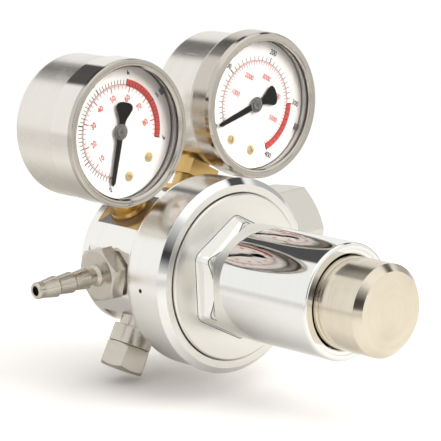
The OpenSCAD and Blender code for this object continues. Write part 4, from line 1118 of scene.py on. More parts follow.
@dataclass
class Bonnet:
    """The chromed bonnet: disc, hexagon that flows into the barrel, rolled rim and bore."""

    disc_r: float = 30.7
    face: float = 44.0
    across: float = 40.0
    corner: float = 3.4
    taper: float = 0.0155
    foot: float = 0.3
    edge_flat: float = 50.7
    edge_corner: float = 48.4
    crease: float = 0.45
    rise: float = 3.2
    blend_end: float = 56.0
    barrel_r: float = 21.0
    end: float = 100.0
    rim: float = 2.1
    bore_r: float = 16.9
    bore: float = 87.0
    seam: float = 0.3
    # Width of the ring at the hexagon's foot that is painted dark as shade.
    disc_edge: float = 0.5
    foot_in_r: float = 24.0
    foot_out_r: float = 31.9
    back: float = 29.5
    step: float = 36.0
    recess_out_r: float = 18.65
    recess_in_r: float = 17.35
    recess: float = 0.3
    lead_in: float = 0.75
    screw_r: float = 6.0
    spring_top: float = 78.0
    spring_r: float = 17.0
    diaphragm: float = 34.0
    sides: int = 6
    corner_turn: float = 30.0

    def hexagon(self, theta: Array) -> list[Patch]:
        """Builds the polished hexagon, the crease at its front edge and the rise to the barrel.

        The edge's station falls from edge_flat to edge_corner as the polygon's radius grows from
        its least to its most, so it waves. The polygon shrinks by the share taper for each
        millimetre above the disc. Past the edge its radius goes over to the barrel's by the share
        3 s squared less 2 s cubed. At the foot, foot times (1 - sin a) is added at foot times
        (1 - cos a) above the disc, which is a hollow quarter circle.

        Args:
            theta: Angles of the columns.

        Returns:
            Patches of the flats, the crease and the rise.
        """
        polygon = rounded_polygon(theta, self.sides, self.across, self.corner_turn,
                                  self.corner)[None, :]
        share = (polygon - polygon.min()) / (polygon.max() - polygon.min())
        edge = self.edge_flat + (self.edge_corner - self.edge_flat) * share
        quarter = np.linspace(0.0, math.pi / 2.0, 9)[:, None]
        foot_z = self.face + self.foot * (1.0 - np.cos(quarter)) + 0.0 * edge
        foot_r = polygon + self.foot * (1.0 - np.sin(quarter))

        def rows(start: Array, end: Array, count: int) -> Array:
            """Returns even rows between two lines of stations."""
            t = np.linspace(0.0, 1.0, count)[:, None]
            return start * (1.0 - t) + end * t

        def bar(z: Array) -> Array:
            """Returns the radius of the tapered polygon."""
            return polygon * (1.0 - self.taper * (z - self.face))

        def smooth(s: Array) -> Array:
            """Returns 3 s squared less 2 s cubed."""
            return s * s * (3.0 - 2.0 * s)

        def at(z: Array) -> Array:
            """Returns the radius at stations past the foot."""
            s = np.clip((z - edge) / self.rise, 0.0, 1.0)
            return bar(z) * (1.0 - smooth(s)) + self.barrel_r * smooth(s)

        flats = rows(foot_z[-1:], edge, 14)[1:]
        crease = rows(edge, edge + self.crease, 5)
        rise = rows(crease[-1:], edge * 0.0 + self.blend_end, 40)
        lower_r = np.concatenate([foot_r, at(flats)])
        # The crease band takes finish 2, the painted seam shade.
        return [sculpted(lower_r, np.concatenate([foot_z, flats]), theta),
                sculpted(at(crease), crease, theta, 2), sculpted(at(rise), rise, theta)]

    def build(self) -> None:
        """Builds the bonnet's skin from the disc's back round to the bore."""
        corners = math.radians(self.corner_turn) + np.arange(self.sides) * TURN / self.sides
        theta = columns(np.concatenate([corners - 0.1, corners, corners + 0.1]) % TURN, 200)
        flats = self.hexagon(theta)
        foot = np.hypot(flats[0].points[0, :, 0], flats[0].points[0, :, 1])
        back = filleted([(self.foot_in_r, self.back), (self.foot_out_r, self.back),
                         (self.foot_out_r, self.step), (self.disc_r, self.step),
                         (self.disc_r, self.face - self.disc_edge),
                         (self.disc_r - self.disc_edge, self.face)], 0.08, 3)
        barrel = filleted([(self.barrel_r, self.blend_end), (self.barrel_r, self.end),
                           (self.recess_out_r, self.end),
                           (self.recess_out_r, self.end - self.recess),
                           (self.recess_in_r, self.end - self.recess),
                           (self.bore_r, self.end - self.lead_in), (self.bore_r, self.bore),
                           (self.screw_r, self.bore), (self.screw_r, self.spring_top),
                           (self.spring_r, self.spring_top), (self.spring_r, self.diaphragm),
                           (self.foot_in_r, self.diaphragm), (self.foot_in_r, self.back)],
                          [self.rim, 0.12, 0.05, 0.12, 0.1] + [0.05] * 6, 9)
        skin = Skin(body_place())
        skin.add(lathe(back, theta, 1),
                 ring_between(self.disc_r - self.disc_edge, foot + self.seam, self.face, theta,
                              1.0, 1),
                 # The thin ring at the hexagon's foot takes finish 2, the painted seam shade.
                 ring_between(foot + self.seam, foot, self.face, theta, 1.0, 2),
                 *flats, lathe(barrel, theta))
        settle(skin.build("bonnet_chrome", [CHROME, SATIN_CHROME, PAINTED_SEAM_SHADE]), "housing",
               "polished_chrome", "bonnet")


@dataclass
class EndCap:
    """The satin cap that closes the bonnet."""

    outer: float = 16.5
    start: float = 89.0
    end: float = 120.4
    bevel: float = 2.4
    wall: float = 2.2
    top_more: float = 0.6
    groove: float = 92.15
    groove_end: float = 93.85
    groove_r: float = 15.15

    def build(self) -> None:
        """Builds the cap with its groove, bevel and hollow."""
        theta = columns(coarse=200)
        inner = self.outer - self.wall
        floor = self.end - self.wall - self.top_more
        side = filleted([(inner, self.start), (self.outer, self.start),
                         (self.outer, self.groove), (self.groove_r, self.groove),
                         (self.groove_r, self.groove_end), (self.outer, self.groove_end),
                         (self.outer, self.end - self.bevel), (self.outer - self.bevel, self.end)],
                        [0.2, 0.1, 0.1, 0.1, 0.1, 0.12], 4)
        face = filleted([(self.outer - self.bevel, self.end), (0.0, self.end)], 0.0)
        hollow = filleted([(0.0, floor), (inner, floor), (inner, self.start)], 0.4, 4)
        skin = Skin(body_place()).add(lathe(side, theta), lathe(face, theta), lathe(hollow, theta))
        settle(skin.build("end_cap_nickel", [WARM_NICKEL]), "end_cap", "satin_nickel", "cap")


# Fittings on the ports


@dataclass
class InletConnection:
    """The union nut with its thread, on the nipple that it turns on."""

    across: float = 32.0
    start: float = 45.0
    end: float = 71.0
    turn: float = 56.0
    thread_r: float = 12.1
    thread_start: float = 56.0
    pitch: float = 1.814
    depth: float = 0.55
    lead_in: float = 0.6
    relief_r: float = 12.6
    nut_floor: float = 49.6
    hole_r: float = 7.5
    nipple_across: float = 19.0
    nipple_hex: float = 24.5
    nipple_hex_end: float = 29.0
    shank_r: float = 7.2
    collar: float = 50.0
    collar_r: float = 11.6
    collar_end: float = 54.0
    filter_r: float = 4.6
    filter_seat: float = 43.0
    bore_r: float = 2.4
    root: float = 17.8
    root_r: float = 8.3

    def build(self) -> None:
        """Builds the nut and the nipple."""
        self.build_nut()
        self.build_nipple()

    def build_nut(self) -> None:
        """Builds the union nut.

        The thread's radius is thread_r plus depth times half of one less the cosine of a full
        turn for each pitch along the axis and each turn round it.
        """
        prism = Prism(6, self.across, self.start, self.end, self.turn, near_cone=True)
        theta = columns(prism.edges(), 120)
        z = np.linspace(self.end - self.lead_in, self.thread_start, 100)
        groove = 0.5 - 0.5 * np.cos(TURN * (z[:, None] / self.pitch - theta[None, :] / TURN))
        inside = self.thread_r + self.depth * groove
        first = filleted([(self.thread_r + self.lead_in, self.end),
                          (self.thread_r, self.end - self.lead_in)], 0.0)
        tail = filleted([(self.thread_r, self.thread_start), (self.relief_r, self.thread_start),
                         (self.relief_r, self.nut_floor), (self.hole_r, self.nut_floor),
                         (self.hole_r, self.start)], 0.1, 3)
        skin = Skin(port_place(INLET_ANGLE))
        skin.add(*prism.bar(theta, self.hole_r, self.thread_r + self.lead_in),
                 lathe(first, theta), sculpted(inside, z, theta), lathe(tail, theta))
        settle(skin.build("union_nut_nickel", [PALE_NICKEL]), "union_nut", "satin_nickel",
               "inlet_nut")

    def build_nipple(self) -> None:
        """Builds the nipple with its hexagon, collar and filter bore."""
        start, end = self.nipple_hex, self.nipple_hex_end
        hexagon = Prism(6, self.nipple_across, start, end, 0.0)
        theta = columns(hexagon.edges(), 96)
        shank = filleted([(self.shank_r, end), (self.shank_r, self.collar),
                          (self.collar_r, self.collar), (self.collar_r, self.collar_end),
                          (self.filter_r, self.collar_end), (self.filter_r, self.filter_seat),
                          (self.bore_r, self.filter_seat), (self.bore_r, self.root),
                          (self.root_r, self.root), (self.root_r, start)], 0.15, 3)
        skin = Skin(port_place(INLET_ANGLE))
        skin.add(*hexagon.bar(theta, self.root_r, self.shank_r), lathe(shank, theta))
        settle(skin.build("inlet_nipple_nickel", [NICKEL]), "housing", "satin_nickel",
               "inlet_nipple")


@dataclass
class OutletBarb:
    """The hose barb with its hexagon."""

    across: float = 19.0
    start: float = 25.5
    end: float = 31.1
    turn: float = 14.0
    neck_r: float = 3.0
    collar_r: float = 4.1
    barb_r: float = 4.05
    barb_drop: float = 0.7
    barbs: int = 3
    tip_r: float = 3.15
    first: float = 36.3
    pitch: float = 7.2
    reach: float = 59.5
    bore_r: float = 1.8
    root: float = 17.5
    root_r: float = 6.5

    def build(self) -> None:
        """Builds the barb as one turned and milled skin."""
        prism = Prism(6, self.across, self.start, self.end, self.turn)
        theta = columns(prism.edges(), 120)
        crests = [self.first + self.pitch * i for i in range(self.barbs)]
        low = [self.neck_r] + [self.barb_r - self.barb_drop] * (self.barbs - 1)
        teeth = [spot for r, z in zip(low, crests) for spot in ((r, z - 1.0), (self.barb_r, z))]
        outside = filleted([(self.collar_r, self.end), (self.collar_r, self.end + 0.6),
                            (self.neck_r, self.end + 1.7), *teeth,
                            (self.tip_r, self.reach - 3.0), (self.tip_r, self.reach - 0.6),
                            (self.tip_r - 0.6, self.reach), (self.bore_r + 0.2, self.reach),
                            (self.bore_r, self.reach - 0.2), (self.bore_r, self.root),
                            (self.root_r, self.root), (self.root_r, self.start)],
                           [0.2, 0.3, 0.5, 0.25] + [0.12, 0.25] * (self.barbs - 1)
                           + [0.12, 0.6, 0.2, 0.2, 0.1, 0.05, 0.1], 5)
        skin = Skin(port_place(OUTLET_ANGLE))
        skin.add(*prism.bar(theta, self.root_r, self.collar_r), lathe(outside, theta))
        settle(skin.build("hose_barb_nickel", [NICKEL]), "housing", "satin_nickel", "outlet_barb")


@dataclass
class ReliefValve:
    """The relief valve's barrel and its hexagonal cap."""

    neck_r: float = 6.3
    barrel_r: float = 8.0
    barrel: float = 28.0
    joint: float = 34.8
    end: float = 44.3
    across: float = 16.0
    turn: float = 43.0
    bore_r: float = 1.8
    root: float = 17.5
    root_r: float = 6.5
    port_face: float = 23.9
    socket_r: float = 5.5
    socket: float = 27.5
    vent_r: float = 2.04
    vent_edge_r: float = 2.2
    spring_end: float = 38.7
    spring_r: float = 4.3
    spigot: float = 32.8
    spigot_r: float = 5.4

    def build(self) -> None:
        """Builds the barrel and the cap as two skins."""
        place = port_place(RELIEF_ANGLE)
        theta = columns(coarse=120)
        barrel = filleted([(self.bore_r, self.root), (self.root_r, self.root),
                           (self.root_r, self.port_face), (self.neck_r, self.port_face),
                           (self.neck_r, self.barrel), (self.barrel_r, self.barrel),
                           (self.barrel_r, self.joint), (self.socket_r, self.joint),
                           (self.socket_r, self.socket), (self.bore_r, self.socket),
                           (self.bore_r, self.root)],
                          [0.1, 0.1, 0.1, 0.1, 0.35, 0.35, 0.1, 0.1, 0.1], 4)
        skin = Skin(place).add(lathe(barrel, theta))
        settle(skin.build("relief_barrel_nickel", [NICKEL]), "housing", "satin_nickel",
               "relief_body")
        prism = Prism(6, self.across, self.joint, self.end, self.turn, near_cone=True)
        theta = columns(prism.edges(), 120)
        inside = filleted([(self.vent_edge_r, self.end), (self.vent_r, self.end - 0.2),
                           (self.vent_r, self.spring_end), (self.spring_r, self.spring_end),
                           (self.spring_r, self.spigot), (self.spigot_r, self.spigot),
                           (self.spigot_r, self.joint)], 0.08, 3)
        skin = Skin(place)
        skin.add(*prism.bar(theta, self.spigot_r, self.vent_edge_r), lathe(inside, theta))
        settle(skin.build("relief_cap_nickel", [NICKEL]), "housing", "satin_nickel", "relief_cap")


# Gauges


class BezelStyle(Enum):
    """The two bezels in use: a narrow rolled one and a wide one with a flat lip."""

    ROLLED = "rolled"
    SWELLED = "swelled"


# Where the scales and the pointers start, and how far they turn, in degrees
SCALE_START = 225.0
SCALE_TURN = 270.0


@dataclass(frozen=True)
class Scale:
    """One scale of a dial: its range, ticks and numbers."""

    top: float
    numbered: tuple[int, ...]
    major: float
    minor: float
    outer: float
    major_len: float
    minor_len: float
    number_r: float
    number_size: float
    major_w: float = 0.42
    minor_w: float = 0.26

    def angle(self, value: Array) -> Array:
        """Returns the angle of a value: SCALE_TURN degrees clockwise from SCALE_START."""
        return np.radians(SCALE_START - SCALE_TURN * np.asarray(value, float) / self.top)


def upright_boxes(corners: Array, low: float, high: float) -> tuple[Array, Array]:
    """Makes thin boxes from four-cornered outlines in the plane.

    Args:
        corners: Outlines as count by 4 by 2, counterclockwise.
        low: Level of the undersides.
        high: Level of the tops.

    Returns:
        Points, and faces of four corners each.
    """
    n = len(corners)
    under = np.concatenate([corners, np.full((n, 4, 1), low)], axis=2)
    over = np.concatenate([corners, np.full((n, 4, 1), high)], axis=2)
    points = np.concatenate([under, over], axis=1).reshape(-1, 3)
    one = np.array([[3, 2, 1, 0], [4, 5, 6, 7], [0, 1, 5, 4], [1, 2, 6, 5], [2, 3, 7, 6],
                    [3, 0, 4, 7]])
    faces = (np.arange(n)[:, None, None] * 8 + one[None]).reshape(-1, 4)
    return points, faces


def radial_ticks(angles: Array, outer: float, length: float, width: float) -> Array:
    """Finds the corners of ticks that point at the centre.

    Args:
        angles: Angle of each tick, in radians.
        outer: Radius of their outer ends.
        length: Length of a tick.
        width: Width of a tick.

    Returns:
        Four corners of each tick.
    """
    c, s = np.cos(angles)[:, None], np.sin(angles)[:, None]
    r = np.array([outer - length, outer, outer, outer - length])[None, :]
    w = np.array([-width, -width, width, width])[None, :] / 2.0
    return np.stack([r * c - w * s, r * s + w * c], axis=-1)


def slotted_head(radius: float, curve: float, slot: float, deep: float,
                 shank: float) -> list[Patch]:
    """Builds a domed screw head with a straight slot, standing on its plate.

    The dome's height is the root of curve squared less x squared and y squared, less its value
    at the rim. Its rows run across the slot at steady x, so the slot's walls are straight.

    Args:
        radius: Radius of the head.
        curve: Radius of the dome.
        slot: Width of the slot.
        deep: Depth of the slot below the top.
        shank: Length of the shank below the plate.

    Returns:
        Patches of both sides of the dome, the slot and the shank.
    """
    rim = math.sqrt(curve**2 - radius**2)
    half = slot / 2.0
    bottom = curve - rim - deep
    count = 17

    def dome(x: Array, y: Array) -> Array:
        """Returns the dome's height over the plate."""
        return np.sqrt(np.maximum(curve**2 - x**2 - y**2, 0.0)) - rim

    def sheet_at(x: Array, sunk: bool) -> Patch:
        """Builds a patch on the dome or on the slot's floor.

        Args:
            x: Places of the columns.
            sunk: Whether it is the slot's floor.

        Returns:
            The patch.
        """
        s = np.linspace(-1.0, 1.0, count)[:, None]
        span = np.sqrt(np.maximum(radius**2 - x**2, 0.0))[None, :]
        gx, gy = np.broadcast_to(x[None, :], (count, len(x))), s * span
        height = dome(gx, gy)
        flat = np.minimum(height, bottom) if sunk else height
        normals = np.stack([gx, gy, height + rim], axis=-1) / curve
        if sunk:
            normals = np.where((height > bottom)[..., None], [0.0, 0.0, 1.0], normals)
        return Patch(np.stack([gx, gy, flat], axis=-1), normals, np.stack([gx, gy], axis=-1))

    def wall_at(x: float, faces: float) -> Patch:
        """Builds one wall of the slot.

        Args:
            x: Where it stands.
            faces: 1 if it looks along x, or -1 if it looks back.

        Returns:
            The patch.
        """
        y = np.linspace(-1.0, 1.0, count) * math.sqrt(radius**2 - x**2)
        top = dome(np.full(count, x), y)
        levels = np.stack([np.minimum(top, bottom), top])[:: int(faces)]
        points = np.stack([np.full(levels.shape, x), np.broadcast_to(y, levels.shape), levels],
                          axis=-1)
        normals = np.zeros(points.shape)
        normals[..., 0] = faces
        return Patch(points, normals, points[..., 1:])

    side = radius - (radius - half) * (1.0 - np.cos(np.linspace(0.0, math.pi / 2.0, 9)))
    left, right = -side, side[::-1]
    both = np.concatenate([left, right])
    a = np.arccos(np.clip(both / radius, -1.0, 1.0))
    theta = np.concatenate([a[::-1], TURN - a[1:]])
    foot = filleted([(0.0, -shank), (0.8, -shank), (0.8, 0.0), (radius, 0.0)], 0.05, 2)
    return [sheet_at(left, False), sheet_at(np.array([-half, half]), True), sheet_at(right, False),
            wall_at(-half, 1.0), wall_at(half, -1.0), lathe(foot, theta)]


def band(start: float, end: float, inner: float, outer: float, parts: int) -> Array:
    """Finds the corners of the parts of a band between two angles.

    Args:
        start: Angle of its start, in radians.
        end: Angle of its end.
        inner: Inner radius.
        outer: Outer radius.
        parts: Number of parts.

    Returns:
        Four corners of each part.
    """
    t = np.linspace(start, end, parts + 1)
    a, b = t[1:], t[:-1]
    return np.stack([np.stack([inner * np.cos(a), inner * np.sin(a)], -1),
                     np.stack([inner * np.cos(b), inner * np.sin(b)], -1),
                     np.stack([outer * np.cos(b), outer * np.sin(b)], -1),
                     np.stack([outer * np.cos(a), outer * np.sin(a)], -1)], axis=1)


def plain_mesh(name: str, points: Array, faces: list | Array, place: Place,
               finish: bpy.types.Material) -> bpy.types.Object:
    """Makes an object with flat faces from points in a place's axes.

    Args:
        name: Name of the object.
        points: Points in millimetres.
        faces: Corners of each face.
        place: Axes of the points.
        finish: Material of the object.

    Returns:
        The object.
    """
    mesh = bpy.data.meshes.new(name)
    listed = faces.tolist() if isinstance(faces, np.ndarray) else faces
    mesh.from_pydata(place.points(points), [], listed)
    mesh.materials.append(finish)
    mesh.update()
    piece = bpy.data.objects.new(name, mesh)
    bpy.context.scene.collection.objects.link(piece)
    LOG.info("%s: %d faces", name, len(listed))
    return piece


def numerals(words: list[tuple[str, float, float, float]], depth: float,
             level: float) -> tuple[Array, list[list[int]]]:
    """Makes plain numbers as thin solids, narrowed to 0.8 and thickened by 0.026 of their height.

    Args:
        words: Each number with its x, y and height.
        depth: Thickness of the ink.
        level: Level of its underside.

    Returns:
        Points and faces of all numbers together.
    """
    points: list[Array] = []
    faces: list[list[int]] = []
    count = 0
    for text, x, y, size in words:
        curve = bpy.data.curves.new("numeral", "FONT")
        curve.body = text
        curve.size = size
        curve.align_x = "CENTER"
        curve.align_y = "CENTER"
        curve.extrude = depth / 2.0
        curve.resolution_u = 3
        curve.offset = 0.026 * size
        holder = bpy.data.objects.new("numeral", curve)
        mesh = bpy.data.meshes.new_from_object(holder)
        flat = np.empty(3 * len(mesh.vertices))
        mesh.vertices.foreach_get("co", flat)
        glyph = flat.reshape(-1, 3) * [0.8, 1.0, 1.0] + [x, y, level + depth / 2.0]
        points.append(glyph)
        faces.extend([[v + count for v in p.vertices] for p in mesh.polygons])
        count += len(glyph)
        bpy.data.objects.remove(holder)
        bpy.data.curves.remove(curve)
        bpy.data.meshes.remove(mesh)
    return np.concatenate(points), faces


@dataclass
class Gauge:
    """A dial gauge with its case, bezel, window, dial, scales and pointer."""

    name: str
    angle: float
    case_r: float
    bezel_r: float
    opening_r: float
    dial_depth: float
    style: BezelStyle
    outer_scale: Scale
    inner_scale: Scale
    danger: float
    front: float = 26.3
    bezel_len: float = 12.2
    back: float = -7.4
    wall: float = 0.9
    lip_back: float = 4.4
    window_back: float = 1.3
    window_t: float = 2.0
    dial_r: float = 24.2
    dial_t: float = 0.6
    dial_hole_r: float = 1.1
    screw_x: float = 5.5
    screw_y: float = -16.2
    pointer_len: float = 19.6
    pointer_lift: float = 1.65
    pointer_t: float = 0.5
    tail_r: float = 9.4
    arbor: float = 6.0
    arbor_r: float = 0.6

    @property
    def place(self) -> Place:
        """Axes of the gauge."""
        return gauge_place(self.angle)

    @property
    def dial(self) -> float:
        """Level of the dial's face."""
        return self.front - self.dial_depth

    def build(self) -> None:
        """Builds every piece of the gauge."""
        self.build_case()
        self.build_bezel()
        self.build_window()
        self.build_dial()
        self.build_markings()
        self.build_screws()
        self.build_pointer()

    def build_case(self) -> None:
        """Builds the drawn cup of the case, with a wall all round."""
        theta = columns(coarse=200)
        inner = self.case_r - self.wall
        lip = self.front - self.lip_back
        cup = filleted([(0.0, self.back), (self.case_r, self.back), (self.case_r, lip),
                        (inner, lip)], [2.5, 0.2], 9)
        inside = filleted([(inner, lip), (inner, self.back + self.wall),
                           (0.0, self.back + self.wall)], [1.6], 9)
        skin = Skin(self.place).add(lathe(cup, theta), lathe(inside, theta, 1))
        settle(skin.build(f"{self.name}_case_steel", [CASE_STEEL, LINER]),
               "housing", "gauge_steel", f"{self.name}_case")

    def build_bezel(self) -> None:
        """Builds the bezel in its style."""
        theta = columns(coarse=240)
        back = self.front - self.bezel_len
        inner = self.case_r + 0.1
        f, r, o = self.front, self.bezel_r, self.opening_r
        if self.style is BezelStyle.ROLLED:
            side = filleted([(inner, back), (r, back), (r, f - 2.2)], 0.4, 6)
            lip = filleted([(r, f - 2.2), (r, f), (r - 1.35, f), (r - 1.5, f - 0.4),
                            (r - 1.75, f - 0.12), (o + 0.9, f - 0.12), (o, f - 1.1),
                            (inner, f - 1.1), (inner, back)],
                           [0.95, 0.2, 0.08, 0.1, 0.3, 0.15, 0.1], 6)
            finishes = [BRIGHT_STEEL, LIP_STEEL]
        else:
            side = filleted([(inner, back), (self.case_r + 0.7, back), (r - 0.2, back + 2.2),
                             (r, back + 2.9), (r - 0.25, f - 2.4)], [0.3, 0.6, 0.5], 6)
            lip = filleted([(r - 0.25, f - 2.4), (r - 0.45, f - 0.8), (r - 1.1, f),
                            (o + 1.3, f - 0.2), (o + 1.15, f - 0.5), (o + 0.5, f - 0.45),
                            (o, f - 1.1), (inner, f - 1.1), (inner, back)],
                           [0.5, 0.3, 0.12, 0.06, 0.25, 0.15, 0.1], 6)
            finishes = [BEZEL_STEEL, LIP_STEEL]
        skin = Skin(self.place).add(lathe(side, theta), lathe(lip, theta, 1))
        settle(skin.build(f"{self.name}_bezel_steel", finishes), "housing", "gauge_steel",
               f"{self.name}_bezel")

    def build_window(self) -> None:
        """Builds the flat window."""
        theta = columns(coarse=160)
        top = self.front - self.window_back
        bottom = top - self.window_t
        edge_r = self.case_r - 0.1
        disc = filleted([(0.0, bottom), (edge_r, bottom), (edge_r, top), (0.0, top)], 0.15, 3)
        skin = Skin(self.place).add(lathe(disc, theta))
        settle(skin.build(f"{self.name}_window_glass", [WindowGlass()]), "housing",
               "window_glass", f"{self.name}_window")

    def build_dial(self) -> None:
        """Builds the dial's plate with rounded edges."""
        theta = columns(coarse=160)
        under = self.dial - self.dial_t
        plate = filleted([(self.dial_hole_r, under), (self.dial_r, under),
                          (self.dial_r, self.dial), (self.dial_hole_r, self.dial),
                          (self.dial_hole_r, under)], [0.1, 0.2, 0.1], 4)
        skin = Skin(self.place).add(lathe(plate, theta))
        settle(skin.build(f"{self.name}_dial_plate", [DIAL_WHITE]), "housing",
               "dial_white", f"{self.name}_dial")

    def build_markings(self) -> None:
        """Prints the danger band, both scales with their circles, and plain numbers.

        Each layer of ink lies 0.02 mm above the last, so the black ticks show on the red band.
        """
        zero = math.radians(SCALE_START)
        for scale, ink, tag in ((self.inner_scale, INK_RED, "red"),
                                (self.outer_scale, INK_BLACK, "black")):
            black = tag == "black"
            top = self.dial + (0.06 if black else 0.04)
            majors = np.arange(0.0, scale.top + 1e-6, scale.major)
            minors = np.arange(0.0, scale.top + 1e-6, scale.minor)
            ring = scale.outer - scale.major_len - 0.05 if black else scale.outer
            ticks = [radial_ticks(scale.angle(majors), scale.outer, scale.major_len, scale.major_w),
                     radial_ticks(scale.angle(minors), scale.outer - (0.5 if black else 0.0),
                                  scale.minor_len, scale.minor_w),
                     band(zero, zero - math.radians(SCALE_TURN) - 0.012, ring, ring + 0.2, 120)]
            if not black:
                outer = self.outer_scale
                ticks.append(band(outer.angle(self.danger), outer.angle(outer.top),
                                  scale.outer + 0.05, scale.outer + 2.6, 40))
            points, faces = upright_boxes(np.concatenate(ticks), self.dial - 0.01, top)
            words = []
            for value in scale.numbered:
                at = float(scale.angle(value))
                words.append((f"{value:g}", scale.number_r * math.cos(at),
                              scale.number_r * math.sin(at), scale.number_size))
            glyphs, glyph_faces = numerals(words, 0.05, self.dial - 0.01)
            joined = [[v + len(points) for v in f] for f in glyph_faces]
            piece = plain_mesh(f"{self.name}_scale_{tag}", np.concatenate([points, glyphs]),
                               faces.tolist() + joined, self.place, ink.material())
            settle(piece, "housing", "dial_white")

    def build_screws(self) -> None:
        """Builds the two dial screws with domed and slotted heads."""
        skin = Skin(self.place)
        for side, turn in ((-self.screw_x, 24.0), (self.screw_x, 67.0)):
            head = slotted_head(radius=1.92, curve=2.0, slot=0.46, deep=0.62, shank=3.1)
            c, s = math.cos(math.radians(turn)), math.sin(math.radians(turn))
            swing = np.array([[c, s, 0.0], [-s, c, 0.0], [0.0, 0.0, 1.0]])
            for patch in head:
                patch.points = patch.points @ swing + [side, self.screw_y, self.dial]
                patch.normals = patch.normals @ swing
                skin.add(patch)
        settle(skin.build(f"{self.name}_dial_screw_heads", [SCREW_BRASS]), "housing",
               "brass", f"{self.name}_dial_screws")

    def build_pointer(self) -> None:
        """Builds the pointer: a flat blade with a fan tail, a stepped hub and its arbor.

        The tail widens past a neck and its end is rounded. Half the blade's width falls evenly
        from the hub, and faster at the tip.
        """
        tail = np.array([-1.3, -1.1, -0.6, 0.2, 1.2, 2.6, 4.2, 5.6, 7.0]) - self.tail_r
        along = np.concatenate([tail, np.linspace(-1.6, self.pointer_len - 1.2, 10),
                                [self.pointer_len - 0.5, self.pointer_len]])
        wide = np.interp(along, [0.0, self.pointer_len - 1.2, self.pointer_len], [1.3, 0.9, 0.25])
        wide[:len(tail)] = (1.2, 2.4, 3.3, 3.8, 3.75, 3.0, 2.0, 1.4, 1.25)
        turn = math.radians(SCALE_START)
        path = np.stack([along * math.cos(turn), along * math.sin(turn),
                         np.full(len(along), self.dial + self.pointer_lift)], axis=1)
        theta = columns(coarse=64)
        steps = [(0.0, 0.8), (2.4, 0.8), (2.4, 1.35), (2.95, 1.35), (2.95, 2.0), (2.1, 2.1),
                 (2.1, 2.75), (0.0, 2.75)]
        hub = filleted([(r, self.dial + z) for r, z in steps], [0.1, 0.05, 0.1, 0.25, 0.1, 0.4], 4)
        top = self.dial + 3.0
        arbor = filleted([(0.0, self.arbor), (self.arbor_r, self.arbor), (self.arbor_r, top),
                          (0.0, top)], 0.1, 3)
        blade = tube_along(path, wide, np.full(len(along), self.pointer_t / 2.0), 20, 5.0)
        skin = Skin(self.place).add(blade, lathe(hub, theta), lathe(arbor, theta, 1))
        settle(skin.build(f"{self.name}_pointer_blade", [POINTER_BLACK, STEEL]),
               f"{self.name}_needle", "pointer_black", f"{self.name}_pointer")


# Coil springs


@dataclass
class CoilSpring:
    """A coil spring swept in place of a CAD spring; in the regulator one end sits in the housing
    and a moving body presses the other.
    """

    node: str
    place: Place
    wire: float
    turns: float
    mover: str
    moves_high: bool = True

    def size(self) -> Triple:
        """Measures the CAD spring.

        Returns:
            Its lowest and highest station and its mean radius.
        """
        mesh = bpy.data.objects[self.node].data
        spots = np.empty(3 * len(mesh.vertices), np.float32)
        mesh.vertices.foreach_get("co", spots)
        local = self.place.local(spots.reshape(-1, 3))
        return (float(local[:, 2].min()), float(local[:, 2].max()),
                float(np.hypot(local[:, 0], local[:, 1]).max()) - self.wire / 2.0)

    def coil(self, low: float, high: float, mean: float) -> Patch:
        """Sweeps the round wire along the spring.

        The wire's centre rises by its own width over the first and the last turn, which are
        closed, and evenly between them.

        Args:
            low: Station of the spring's lower end.
            high: Station of its upper end.
            mean: Radius of the wire's centre line.

        Returns:
            The wire's skin with a flat disc at each end.
        """
        closed = self.wire * 1.03
        turn = np.linspace(0.0, self.turns, int(self.turns * 36) + 1)
        rise = np.interp(turn, [0.0, 1.0, self.turns - 1.0, self.turns],
                         [0.0, closed, high - low - self.wire - closed, high - low - self.wire])
        angle = turn * TURN
        path = np.stack([mean * np.cos(angle), mean * np.sin(angle), low + self.wire / 2.0 + rise],
                        axis=-1)
        ahead = np.gradient(path, axis=0)
        ahead /= np.linalg.norm(ahead, axis=1, keepdims=True)
        outward = np.stack([np.cos(angle), np.sin(angle), 0.0 * angle], -1)
        side = np.cross(ahead, outward)
        round_wire = np.linspace(0.0, TURN, 17)[None, :, None]
        normals = outward[:, None] * np.cos(round_wire) + side[:, None] * np.sin(round_wire)
        points = path[:, None] + normals * self.wire / 2.0

        def row(vector: Array) -> Array:
            """Returns one vector repeated round the wire."""
            return np.broadcast_to(vector, (1, round_wire.shape[1], 3))

        points = np.concatenate([row(path[0]), points[:1], points, points[-1:], row(path[-1])])
        normals = np.concatenate([row(-ahead[0]), row(-ahead[0]), normals, row(ahead[-1]),
                                  row(ahead[-1])])
        run = np.linspace(0.0, TURN * mean * self.turns, len(points))[:, None]
        chart = np.stack(np.broadcast_arrays(round_wire[..., 0] / TURN, run), axis=-1)
        return Patch(points, normals, chart)

    def build(self) -> None:
        """Builds the swept spring and hides the CAD spring that it stands for."""
        low, high, mean = self.size()
        skin = Skin(self.place).add(self.coil(low, high, mean))
        piece = skin.build(f"{self.node}_wire", [STEEL])
        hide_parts(self.node)
        ends = self.place.points(np.array([[0.0, 0.0, low], [0.0, 0.0, high]])).tolist()
        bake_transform(piece)


# Nodes kept from the CAD


NODE_FINISHES: dict[str, Finish] = {
    "polished_chrome": CHROME, "satin_nickel": NICKEL, "spring_steel": STEEL, "brass": BRASS,
    "sintered_bronze": BRONZE, "black_rubber": RUBBER, "seal_plastic": SEAL,
    "gauge_steel": GAUGE_STEEL, "dial_white": DIAL_WHITE, "pointer_black": POINTER_BLACK,
}


